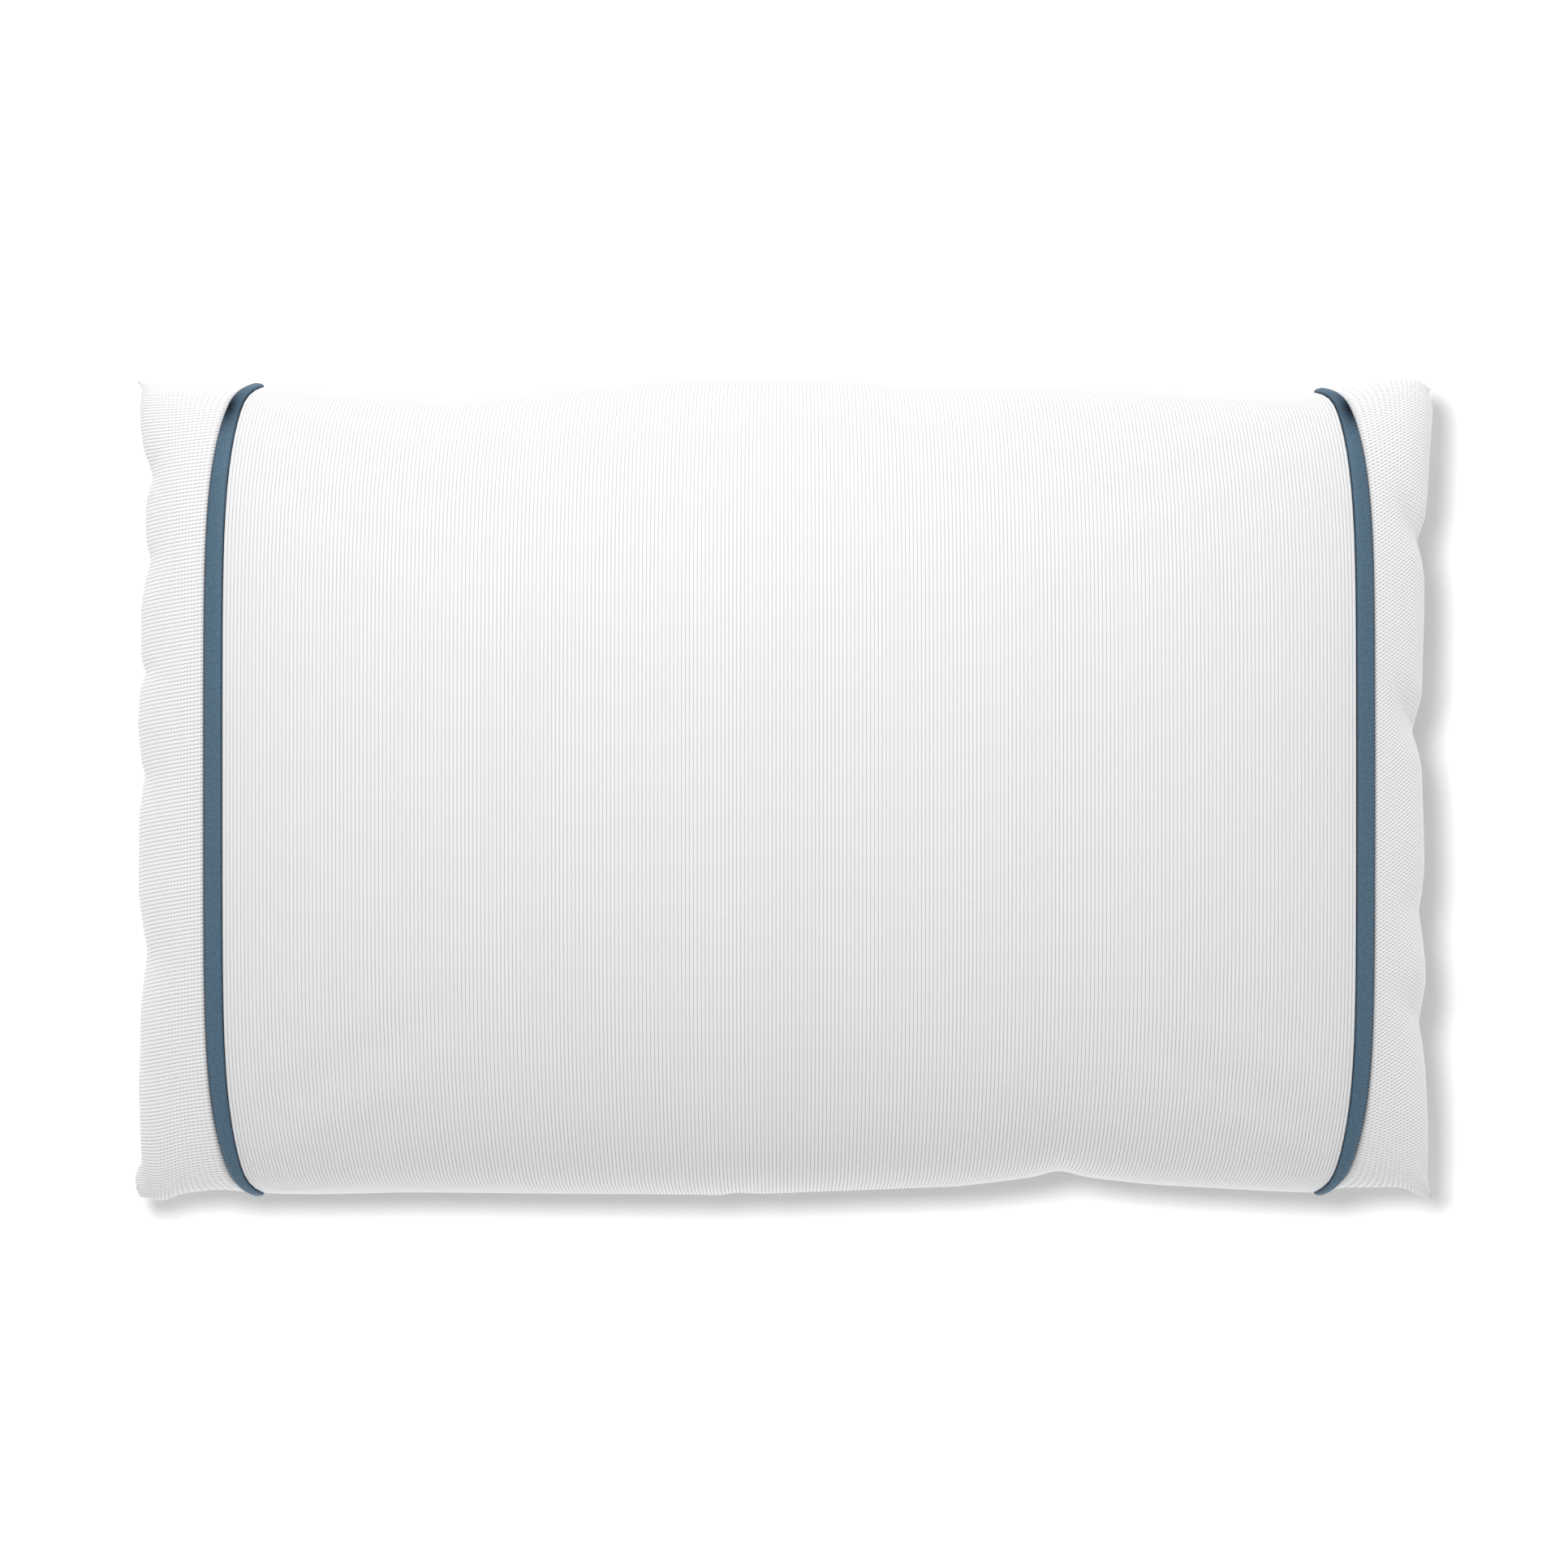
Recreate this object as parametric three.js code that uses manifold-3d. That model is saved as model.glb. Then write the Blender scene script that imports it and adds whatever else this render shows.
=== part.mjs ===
// Bed pillow with a removable zipped cover, lying on its underside.
// A ribbed knit sleeve wraps the middle. A raised band runs round each of its two edges, and beyond each
// band a mesh knit sleeve closes the end: one end is sewn shut, the other holds a coil zip. Inside lies an
// inner pillow: a two-panel liner bag round a fibre fill.
// Millimetres. +X runs along the length towards the zip, +Y across the width, +Z up. The origin is the
// middle of the underside.
import * as THREE from "three";
import Module from "manifold-3d";

const wasm = await Module();
wasm.setup();

// ---- Driving dimensions ----
const HALF_WIDTH = 229; // centre to each long edge
const CORNER_REACH = 367.5; // centre to each corner tip, along X
const SEAM_Z = 68; // height of the two end seams and of the widest line of the long edges
const CROWN = 82; // the middle of the top above SEAM_Z
const BELLY = 75; // the same downwards, before the floor flattens it
const LOOP_POWER = 2.25; // superellipse power of the cross-section
const REACH = 365; // where the lengthwise profile would end without its pinch
const REACH_POWER = 5;
const DROP_POWER = 2.2;
const PINCH = 18; // how far the end seam draws in behind the rolls of cloth above and below it
const PINCH_SHARE = 0.16; // the height over which it draws in, as a share of CROWN
const CLOTH = 1.8; // thickness of the cover's knits
const GAP = 0.5; // between neighbouring pieces

const LEFT_BAND_X = 320; // the left band's middle line on the top
const RIGHT_BAND_X = 325.5; // the right band's, which is sewn a little further out
const BAND_HALF = 5.5; // half of a band's width
const BAND_DRAW = 0.069; // the share of its x by which a band's line draws in at the long edges
const DRAW_POWER = 7.5; // how late towards the long edges it draws in
const BAND_RISE = 2.3; // a band's crown above the cloth
const BAND_WALL = 0.8;
const BAND_CLEAR = BAND_HALF + GAP; // from a band's middle line to the sleeve on each side of it

const STATIONS = 36; // steps round the pillow
const CENTRE_RINGS = 10; // steps along the ribbed sleeve
const CENTRE_SPREAD = 0.43 * Math.PI; // packs those steps towards the sleeve's ends, where it turns down
const END_SHARES = [0.76, 0.56, 0.38, 0.22, 0.12]; // an end sleeve's rings, as shares of its first height

const SEAM_LIP = GAP; // half the gap between the two lips of the sewn seam
const ALLOWANCE_X = 341; // the raw edges of the sewn seam's allowances
const HEM_POWER = 14; // how late the lips run out to the corners

const ZIP_X = 344.7; // outer face of the zip tapes
const ZIP_TAPE = 0.8;
const ZIP_MOUTH = 6.8; // half height of the opening between the hems
const ZIP_MOUTH_END = 200; // the hems meet beyond this
const HEM_TURN = 3; // the hem's outer fold stands this far above the mouth
const CHAIN_START = -180;
const CHAIN_END = 194;
const TOOTH = 2.3;
const TOOTH_PITCH = 4;
const SLIDER_Y = 186; // the slider's middle when the zip is closed
const SLIDER_HALF = 6;
const SLIDER_PLATE = 1.6;
const SLIDER_OUTER = ZIP_X + 2.9; // inner side of the slider's outer plate
const SLIDER_INNER = ZIP_X - ZIP_TAPE - 0.4; // outer side of its inner plate
const PIVOT_X = SLIDER_OUTER + SLIDER_PLATE + 1.4; // the pull's pivot line
const PULL_HALF = 0.6; // half of the pull's thickness

const LINER_REACH = 332;
const LINER_ROUND = 300; // the liner's ends round off from here
const LINER_CORNER = 322; // its seam's ends at the long edges
const LINER_INSET = 6; // liner behind the cover's outer face
const LINER_CLOTH = 0.8;
const LINER_SPLIT = 1.3; // half the height of the seam between the liner's two panels
const LINER_RINGS = 12;
const FILL_INSET = 5; // fill behind the liner's outer face

// ---- Materials ----
const material = (color, roughness, metalness = 0) =>
  new THREE.MeshStandardMaterial({ color, roughness, metalness });
const RIBBED_KNIT = material(0xf4f4f5, 0.9);
const MESH_KNIT = material(0xf1f1f2, 0.9);
const BAND_CLOTH = material(0x536e83, 0.6);
const FOAM_STRIP = material(0xe2e4e6, 0.95);
const LINER_TICKING = material(0xf6f5f2, 0.85);
const FIBRE = material(0xfafafa, 1);
const THREAD = material(0xededee, 0.7);
const TAPE = material(0xf0f0f1, 0.8);
const NYLON = material(0xf2f2f2, 0.35);
const NICKEL = material(0xb9bcc0, 0.3, 1);
const LABEL = material(0xf8f8f8, 0.6);

// ---- The pillow's surface ----
const signedPower = (value, power) => Math.sign(value) * Math.abs(value) ** power;
const loopY = (phi) => signedPower(Math.cos(phi), 2 / LOOP_POWER);
const loopZ = (phi) => signedPower(Math.sin(phi), 2 / LOOP_POWER);
const angles = Array.from({ length: STATIONS }, (_, j) => (2 * Math.PI * j) / STATIONS);

// Height of the lengthwise profile above SEAM_Z at x, for the surface that lies inset behind the outer one.
function profileHeight(x, inset) {
  const share = Math.abs(x) / (REACH - inset);
  return (CROWN - inset) * (1 - share ** REACH_POWER) ** (1 / DROP_POWER);
}

// The profile's x at a height above SEAM_Z, with the pinch at the end seam.
function profileReach(height) {
  const share = height / CROWN;
  const pinch = PINCH * Math.exp(-((share / PINCH_SHARE) ** 2));
  return REACH * (1 - share ** DROP_POWER) ** (1 / REACH_POWER) - pinch;
}

// Height of the loop at phi. The underside is shallower than the top, and the floor flattens it.
function heightAt(rise, phi, inset) {
  const share = rise * loopZ(phi);
  return share >= 0 ? SEAM_Z + share : Math.max(SEAM_Z + (share * BELLY) / CROWN, inset);
}

// The hems stay level along the zip and come together at the corners.
function hemHeight(rise, phi, y) {
  const side = Math.sign(Math.round(Math.sin(phi) * 1e6));
  const height = Math.abs(y) > ZIP_MOUTH_END ? Math.max(rise - ZIP_MOUTH, 0) + GAP : rise;
  return SEAM_Z + side * height;
}

// One ring round the pillow, from its x on the top, its x at the long edges, its rise above SEAM_Z and its
// half width. Its power says how late towards the long edges it leaves the one x for the other.
function ring({ x, cornerX, rise, half, inset = 0, power = DRAW_POWER, hem = false }) {
  return angles.map((phi) => {
    const y = half * loopY(phi);
    const draw = Math.abs(loopY(phi)) ** power;
    const z = hem ? hemHeight(rise, phi, y) : heightAt(rise, phi, inset);
    return new THREE.Vector3(x + (cornerX - x) * draw, y, z);
  });
}

// A ring of the sleeves or the bands at the given x on the top, lifted off the cover's face by lift.
function surfaceRing(x, lift) {
  const inset = -lift;
  return ring({
    x,
    cornerX: x * (1 - BAND_DRAW),
    rise: profileHeight(x, inset),
    half: HALF_WIDTH + lift,
    inset: Math.max(inset, 0),
  });
}

// ---- Solids from points ----
function volumeOf(points, triangles) {
  return triangles.reduce((sum, [a, b, c]) => sum + points[a].dot(points[b].clone().cross(points[c])), 0);
}

// A geometry whose triangles all face out.
function geometryOf(points, triangles) {
  const insideOut = volumeOf(points, triangles) < 0;
  const faces = insideOut ? triangles.map(([a, b, c]) => [a, c, b]) : triangles;
  const geometry = new THREE.BufferGeometry();
  const positions = points.flatMap((point) => point.toArray());
  geometry.setAttribute("position", new THREE.Float32BufferAttribute(positions, 3));
  geometry.setIndex(faces.flat());
  return geometry;
}

// A closed body whose cross-section is the closed outline that the rings' points draw.
function sweep(rings) {
  const around = rings[0].length;
  const triangles = rings.flatMap((_, i) =>
    rings[0].flatMap((__, j) => {
      const [nextRing, nextPoint] = [(i + 1) % rings.length, (j + 1) % around];
      const a = i * around + j;
      const b = nextRing * around + j;
      const c = nextRing * around + nextPoint;
      const d = i * around + nextPoint;
      return [[a, b, c], [a, c, d]];
    }),
  );
  return geometryOf(rings.flat(), triangles);
}

// The outer entries of a grid, once round. at(i, j) gives the entry of row i and column j.
function rimOf(rows, columns, at) {
  const down = Array.from({ length: rows - 1 }, (_, i) => i);
  const across = Array.from({ length: columns - 1 }, (_, j) => j);
  return [
    ...across.map((j) => at(0, j)),
    ...down.map((i) => at(i, columns - 1)),
    ...across.map((j) => at(rows - 1, columns - 1 - j)),
    ...down.map((i) => at(rows - 1 - i, 0)),
  ];
}

// A closed body between two grids of points of the same size.
function slab(front, back) {
  const [rows, columns] = [front.length, front[0].length];
  const first = rows * columns;
  const at = (i, j) => i * columns + j;
  const faces = [];
  for (let i = 0; i + 1 < rows; i++) {
    for (let j = 0; j + 1 < columns; j++) {
      const [a, b, c, d] = [at(i, j), at(i + 1, j), at(i + 1, j + 1), at(i, j + 1)];
      faces.push([a, b, c], [a, c, d]);
      faces.push([first + a, first + c, first + b], [first + a, first + d, first + c]);
    }
  }
  const rim = rimOf(rows, columns, at);
  rim.forEach((a, k) => {
    const b = rim[(k + 1) % rim.length];
    faces.push([a, b, first + b], [a, first + b, first + a]);
  });
  return geometryOf([...front.flat(), ...back.flat()], faces);
}

// ---- Solids from outlines ----
const shapeOf = (points) => new THREE.Shape(points.map(([a, b]) => new THREE.Vector2(a, b)));
const mirrorX = (rings) => rings.map((points) => points.map((p) => new THREE.Vector3(-p.x, p.y, p.z)));
const span = (a, b) => [Math.min(a, b), Math.max(a, b)];
const X = new THREE.Vector3(1, 0, 0);
const Y = new THREE.Vector3(0, 1, 0);
const Z = new THREE.Vector3(0, 0, 1);

// An extruded outline, turned so that its two axes and its depth lie along the given directions.
function extrude(shape, depth, [across, up, along]) {
  const geometry = new THREE.ExtrudeGeometry(shape, { depth, bevelEnabled: false, curveSegments: 6 });
  return geometry.applyMatrix4(new THREE.Matrix4().makeBasis(across, up, along));
}

// An outline in (y, z), extruded from x0 to x1.
const extrudeAlongX = (shape, x0, x1) => extrude(shape, x1 - x0, [Y, Z, X]).translate(x0, 0, 0);

// An outline in (x, z), extruded from y0 to y1.
const extrudeAlongY = (shape, y0, y1) =>
  extrude(shape, y1 - y0, [X, Z, Y.clone().negate()]).translate(0, y1, 0);

// An outline in (y, x), extruded from z0 to z1.
const extrudeAlongZ = (shape, z0, z1) =>
  extrude(shape, z1 - z0, [Y, X, Z.clone().negate()]).translate(0, 0, z1);

function block([x0, x1], [y0, y1], [z0, z1]) {
  const geometry = new THREE.BoxGeometry(x1 - x0, y1 - y0, z1 - z0);
  return geometry.translate((x0 + x1) / 2, (y0 + y1) / 2, (z0 + z1) / 2);
}

// A closed geometry as a solid, whose faces share the corners that lie at one place.
function solidOf(geometry) {
  const positions = geometry.getAttribute("position");
  const index = geometry.index ? [...geometry.index.array] : [...Array(positions.count).keys()];
  const found = new Map();
  const vertices = [];
  const corners = index.map((i) => {
    const point = [positions.getX(i), positions.getY(i), positions.getZ(i)].map((v) => v.toFixed(4));
    const key = point.join();
    if (!found.has(key)) {
      found.set(key, vertices.length / 3);
      vertices.push(...point.map(Number));
    }
    return found.get(key);
  });
  const mesh = new wasm.Mesh({
    numProp: 3,
    vertProperties: new Float32Array(vertices),
    triVerts: new Uint32Array(corners),
  });
  return new wasm.Manifold(mesh);
}

// Joins closed geometries that run into each other into one body.
function joined(geometries) {
  const mesh = geometries.map(solidOf).reduce((sum, solid) => sum.add(solid)).getMesh();
  const geometry = new THREE.BufferGeometry();
  geometry.setAttribute("position", new THREE.BufferAttribute(mesh.vertProperties, 3));
  geometry.setIndex(new THREE.BufferAttribute(mesh.triVerts, 1));
  return geometry;
}

// ---- Cover ----
function centreSleeve() {
  const middle = (RIGHT_BAND_X - LEFT_BAND_X) / 2;
  const reach = (RIGHT_BAND_X + LEFT_BAND_X) / 2 - BAND_CLEAR;
  const places = Array.from({ length: CENTRE_RINGS + 1 }, (_, i) => {
    const turn = ((2 * i) / CENTRE_RINGS - 1) * CENTRE_SPREAD;
    return middle + (reach * Math.sin(turn)) / Math.sin(CENTRE_SPREAD);
  });
  const outer = places.map((x) => surfaceRing(x, 0));
  const inner = places.map((x) => surfaceRing(x, -CLOTH));
  return sweep([...outer, ...inner.reverse()]);
}

// The rings of an end sleeve from the band at bandX to its seam, whose lips stand lip above and below
// SEAM_Z. The inner face lies square to the outer one, inset behind it.
function endRings(bandX, lip, inset) {
  const firstX = bandX + BAND_CLEAR;
  const firstRise = profileHeight(firstX, 0);
  const rises = END_SHARES.map((share) => firstRise * share).filter((rise) => rise > lip + 1);
  const rows = rises.map((rise, k) => {
    const step = (k + 1) / (rises.length + 1);
    const slope = profileReach(rise + 0.5) - profileReach(rise - 0.5);
    const square = Math.hypot(1, slope);
    return ring({
      x: profileReach(rise) - inset / square,
      rise: rise + (inset * slope) / square,
      cornerX: THREE.MathUtils.lerp(firstX * (1 - BAND_DRAW), CORNER_REACH - inset, step),
      half: HALF_WIDTH - inset,
      power: THREE.MathUtils.lerp(DRAW_POWER, HEM_POWER, step),
    });
  });
  return [surfaceRing(firstX, -inset), ...rows];
}

// A ring of a turned lip, drawn in from the corner tip and from the long edge.
function lipRing(x, rise, { cornerIn, edgeIn, hem = false }) {
  const cornerX = CORNER_REACH - cornerIn;
  return ring({ x, rise, cornerX, half: HALF_WIDTH - edgeIn, power: HEM_POWER, hem });
}

// The end sleeve that is sewn shut: its two lips turn in, side by side, as seam allowances.
function sewnEndSleeve() {
  const lipX = profileReach(SEAM_LIP);
  const back = SEAM_LIP + CLOTH;
  const lips = [
    lipRing(lipX, SEAM_LIP, { cornerIn: 0.5, edgeIn: 3.4 }),
    lipRing(ALLOWANCE_X, SEAM_LIP, { cornerIn: 10, edgeIn: 3.8 }),
    lipRing(ALLOWANCE_X, back, { cornerIn: 10, edgeIn: 2.4 }),
    lipRing(lipX - 1, back, { cornerIn: 5, edgeIn: 2.1 }),
  ];
  const outer = endRings(LEFT_BAND_X, SEAM_LIP, 0);
  const inner = endRings(LEFT_BAND_X, SEAM_LIP, CLOTH).reverse();
  return sweep(mirrorX([...outer, ...lips, ...inner]));
}

// The end sleeve with the zip: each lip turns back behind itself as a hem in front of a zip tape.
function zippedEndSleeve() {
  const front = ZIP_X + 0.7;
  const turn = ZIP_MOUTH + HEM_TURN;
  const hems = [
    lipRing(profileReach(ZIP_MOUTH) - 0.6, ZIP_MOUTH, { cornerIn: 0.5, edgeIn: 3.4, hem: true }),
    lipRing(front, ZIP_MOUTH + 0.5, { cornerIn: 10, edgeIn: 3.8, hem: true }),
    lipRing(front, ZIP_MOUTH + 6.5, { cornerIn: 10, edgeIn: 2.9, hem: true }),
    lipRing(front + 1.6, ZIP_MOUTH + 6.5, { cornerIn: 7, edgeIn: 2.4, hem: true }),
    lipRing(front + 2.4, ZIP_MOUTH + 2.4, { cornerIn: 5, edgeIn: 2.1, hem: true }),
  ];
  const outer = endRings(RIGHT_BAND_X, turn, 0);
  const inner = endRings(RIGHT_BAND_X, turn, CLOTH).reverse();
  return sweep([...outer, ...hems, ...inner]);
}

// A band's cover: a strip bent round its filler, open along a slit underneath.
function bandCover(bandX) {
  const foot = 0.2 - CLOTH;
  const floor = foot + BAND_WALL;
  const wall = BAND_HALF - BAND_WALL;
  const half = [
    [0, BAND_RISE], [3.6, 1.9], [BAND_HALF, 0.9], [BAND_HALF, foot], [0.5, foot],
    [0.5, floor], [wall, floor], [wall, 0.5], [3.2, 1.1],
  ];
  const tip = [0, BAND_RISE - BAND_WALL];
  const other = half.slice(1).reverse().map(([across, lift]) => [-across, lift]);
  return [...half, tip, ...other].map(([across, lift]) => surfaceRing(bandX + across, lift));
}

function bandFiller(bandX) {
  const outline = [[-4, -0.4], [-4, -0.1], [0, 0.8], [4, -0.1], [4, -0.4]];
  return outline.map(([across, lift]) => surfaceRing(bandX + across, lift));
}

// A folded tape over the raw edges of the sewn seam's allowances.
function seamBinding() {
  const half = 3.2;
  const cloth = 0.5;
  const [open, shut, inside] = [-(ALLOWANCE_X + 3), -(ALLOWANCE_X - 2), -(ALLOWANCE_X - 0.5)];
  const section = shapeOf([
    [open, -half], [shut, -half], [shut, half], [open, half],
    [open, half - cloth], [inside, half - cloth], [inside, cloth - half], [open, cloth - half],
  ]);
  return extrudeAlongY(section, -185, 185).translate(0, 0, SEAM_Z);
}

// A blank label that hangs from the sewn seam's binding, inside the cover.
function careLabel() {
  return block([-345, -344.4], [-60, -25], [SEAM_Z + 3.6, SEAM_Z + 18]);
}

// ---- Zip ----
// side is 1 for the tape, coil or stop above SEAM_Z and -1 for the one below.
function zipTape(side) {
  const ends = [CHAIN_START - 7, CHAIN_END + 7];
  return block([ZIP_X - ZIP_TAPE, ZIP_X], ends, span(SEAM_Z + side * 0.9, SEAM_Z + side * 13.5));
}

// A coil: a spine with its teeth towards the other coil.
function zipCoil(side) {
  const [tip, root, spine] = [0.7 * side, 2.3 * side, 3.4 * side];
  const shape = new THREE.Shape();
  shape.moveTo(CHAIN_START, spine);
  shape.lineTo(CHAIN_START, root);
  for (let y = CHAIN_START + 0.8; y + TOOTH < CHAIN_END; y += TOOTH_PITCH) {
    shape.lineTo(y, root);
    shape.lineTo(y, tip);
    shape.lineTo(y + TOOTH, tip);
    shape.lineTo(y + TOOTH, root);
  }
  shape.lineTo(CHAIN_END, root);
  shape.lineTo(CHAIN_END, spine);
  return extrudeAlongX(shape, ZIP_X + 0.3, ZIP_X + 2.5).translate(0, 0, SEAM_Z);
}

function zipTopStop(side) {
  const place = [CHAIN_END + GAP, CHAIN_END + 3.4];
  return block([ZIP_X + 0.3, ZIP_X + 3], place, span(SEAM_Z + side * 0.5, SEAM_Z + side * 3.9));
}

// One stop across both coils.
function zipBottomStop() {
  const place = [CHAIN_START - 3.4, CHAIN_START - GAP];
  return block([ZIP_X + 0.3, ZIP_X + 2.9], place, [SEAM_Z - 3.8, SEAM_Z + 3.8]);
}

// Two plates either side of the tapes, joined by a thin bridge that runs between the coils. The outer plate
// has side flanges and an arch that holds the pull.
function zipSlider() {
  const [tailHalf, flankHalf, noseHalf] = [3.9, 4.9, 3.4];
  const flank = [-2, SLIDER_HALF - 1.5];
  const side = [
    [-SLIDER_HALF, tailHalf], [flank[0], flankHalf], [flank[1], flankHalf], [SLIDER_HALF, noseHalf],
  ];
  const plate = shapeOf([...side, ...side.map(([y, z]) => [y, -z]).reverse()]);
  const [legOut, legIn, archIn, archOut] = [3.3, 2.5, 2.7, 3.5];
  const arch = shapeOf([
    [-legOut, -0.3], [-legOut, archIn], [-legIn, archOut], [legIn, archOut], [legOut, archIn],
    [legOut, -0.3], [legIn, -0.3], [legIn, archIn], [-legIn, archIn], [-legIn, -0.3],
  ]);
  const flange = (up) => block([ZIP_X + 0.6, SLIDER_OUTER + 0.2], flank, span(3.8 * up, flankHalf * up));
  return joined([
    extrudeAlongX(plate, SLIDER_OUTER, SLIDER_OUTER + SLIDER_PLATE),
    extrudeAlongX(plate, SLIDER_INNER - SLIDER_PLATE, SLIDER_INNER),
    block([SLIDER_INNER - 0.2, SLIDER_OUTER + 0.2], [1, 4.5], [-0.3, 0.3]),
    flange(1),
    flange(-1),
    extrudeAlongZ(arch, -1.2, 1.2).translate(SLIDER_OUTER + SLIDER_PLATE, 0, 0),
  ]).translate(0, SLIDER_Y, SEAM_Z);
}

// A flat tab with an eye that the slider's arch passes through. It lies back along the closed chain.
function zipPull() {
  const [head, neck, tip, length] = [3.1, 2.4, 3, 27];
  const outline = new THREE.Shape();
  outline.moveTo(PULL_HALF, -head);
  outline.lineTo(PULL_HALF, head);
  outline.lineTo(-8, head);
  outline.lineTo(-10, neck);
  outline.lineTo(tip - length, tip);
  outline.absarc(tip - length, 0, tip, Math.PI / 2, (3 * Math.PI) / 2, false);
  outline.lineTo(-10, -neck);
  outline.lineTo(-8, -head);
  outline.closePath();
  outline.holes.push(shapeOf([[-PULL_HALF, -1.9], [-5.2, -1.9], [-5.2, 1.9], [-PULL_HALF, 1.9]]));
  const tab = extrudeAlongX(outline, PIVOT_X - PULL_HALF, PIVOT_X + PULL_HALF);
  return tab.translate(0, SLIDER_Y, SEAM_Z);
}

// ---- Inner pillow ----
// One half of the inner pillow's surface as a grid, inset behind the liner's outer face and starting split
// above or below SEAM_Z. side is 1 for the upper half and -1 for the lower.
function linerGrid(side, inset, split) {
  const reach = LINER_REACH - inset;
  const depth = LINER_INSET + inset;
  const steps = STATIONS / 2;
  return Array.from({ length: LINER_RINGS + 1 }, (_, i) => {
    const x = reach * Math.sin((i / LINER_RINGS - 0.5) * Math.PI);
    const cornerX = ((LINER_CORNER - inset) / reach) * x;
    const rounding = Math.max(Math.abs(x) - LINER_ROUND, 0) / (reach - LINER_ROUND);
    const full = profileHeight(Math.min(Math.abs(x), LINER_ROUND), depth);
    const rise = full * Math.sqrt(Math.max(1 - rounding ** 2, 0));
    return Array.from({ length: steps + 1 }, (__, j) => {
      const phi = (side * Math.PI * j) / steps;
      const draw = Math.abs(loopY(phi)) ** DRAW_POWER;
      const z = Math.max(heightAt(rise, phi, depth) + side * split, depth);
      return new THREE.Vector3(x + (cornerX - x) * draw, (HALF_WIDTH - depth) * loopY(phi), z);
    });
  });
}

function linerPanel(side) {
  return slab(linerGrid(side, 0, LINER_SPLIT), linerGrid(side, LINER_CLOTH, LINER_SPLIT));
}

// The overlocked seam that runs right round between the liner's two panels.
function linerSeam() {
  const outline = [[0.3, 0.9], [4, 0.9], [4, -0.9], [0.3, -0.9]];
  const rings = outline.map(([inset, rise]) => {
    const grid = linerGrid(1, inset, 0);
    const edge = rimOf(grid.length, grid[0].length, (i, j) => grid[i][j]);
    return edge.map((point) => new THREE.Vector3(point.x, point.y, SEAM_Z + rise));
  });
  return sweep(rings);
}

function fibreFill() {
  return slab(linerGrid(1, FILL_INSET, LINER_SPLIT), linerGrid(-1, FILL_INSET, LINER_SPLIT));
}

// ---- Assembly ----
const pillow = new THREE.Group();

function add(name, geometry, finish) {
  const mesh = new THREE.Mesh(geometry, finish);
  mesh.name = name;
  pillow.add(mesh);
}

add("centre_panel", centreSleeve(), RIBBED_KNIT);
add("left_end_panel", sewnEndSleeve(), MESH_KNIT);
add("right_end_panel", zippedEndSleeve(), MESH_KNIT);
add("left_band", sweep(mirrorX(bandCover(LEFT_BAND_X))), BAND_CLOTH);
add("right_band", sweep(bandCover(RIGHT_BAND_X)), BAND_CLOTH);
add("left_band_filler", sweep(mirrorX(bandFiller(LEFT_BAND_X))), FOAM_STRIP);
add("right_band_filler", sweep(bandFiller(RIGHT_BAND_X)), FOAM_STRIP);
add("left_seam_binding", seamBinding(), THREAD);
add("care_label", careLabel(), LABEL);

add("zip_tape_upper", zipTape(1), TAPE);
add("zip_tape_lower", zipTape(-1), TAPE);
add("zip_coil_upper", zipCoil(1), NYLON);
add("zip_coil_lower", zipCoil(-1), NYLON);
add("zip_top_stop_upper", zipTopStop(1), NICKEL);
add("zip_top_stop_lower", zipTopStop(-1), NICKEL);
add("zip_bottom_stop", zipBottomStop(), NICKEL);
add("zip_slider", zipSlider(), NICKEL);
add("zip_pull", zipPull(), NICKEL);

add("liner_upper", linerPanel(1), LINER_TICKING);
add("liner_lower", linerPanel(-1), LINER_TICKING);
add("liner_seam_overlock", linerSeam(), THREAD);
add("fill_core", fibreFill(), FIBRE);

export default pillow;
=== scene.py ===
"""The looks of a zipped bed pillow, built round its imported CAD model. Metres, in the model's frame."""

import math

import bmesh
import bpy
import numpy as np
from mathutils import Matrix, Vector


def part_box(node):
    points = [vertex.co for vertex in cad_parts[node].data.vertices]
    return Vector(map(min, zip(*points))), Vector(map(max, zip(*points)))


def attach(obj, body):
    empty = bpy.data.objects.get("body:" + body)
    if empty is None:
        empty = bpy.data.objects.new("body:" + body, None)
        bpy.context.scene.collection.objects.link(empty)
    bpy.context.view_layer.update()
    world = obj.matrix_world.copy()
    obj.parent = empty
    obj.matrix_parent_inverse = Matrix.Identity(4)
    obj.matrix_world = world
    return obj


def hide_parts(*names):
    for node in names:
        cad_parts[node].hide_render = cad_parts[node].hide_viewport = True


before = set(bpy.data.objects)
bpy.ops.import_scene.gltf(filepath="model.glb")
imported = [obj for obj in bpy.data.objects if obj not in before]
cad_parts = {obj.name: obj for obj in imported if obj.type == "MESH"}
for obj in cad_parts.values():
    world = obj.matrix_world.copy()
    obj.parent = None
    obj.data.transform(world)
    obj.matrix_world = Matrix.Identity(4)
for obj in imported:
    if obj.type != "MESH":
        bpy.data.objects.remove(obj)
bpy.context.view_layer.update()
MM = 0.001

# ---- Sizes from the frame ----
CENTRE_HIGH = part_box("centre_panel")[1]
END_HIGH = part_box("right_end_panel")[1]
LEFT_BAND_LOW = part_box("left_band")[0]
RIGHT_BAND_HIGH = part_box("right_band")[1]
LINER_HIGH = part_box("liner_upper")[1]
OVERLOCK_LOW, OVERLOCK_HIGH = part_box("liner_seam_overlock")
BINDING_LOW, BINDING_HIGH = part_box("left_seam_binding")
LABEL_LOW, LABEL_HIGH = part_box("care_label")
TAPE_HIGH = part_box("zip_tape_upper")[1]

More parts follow.
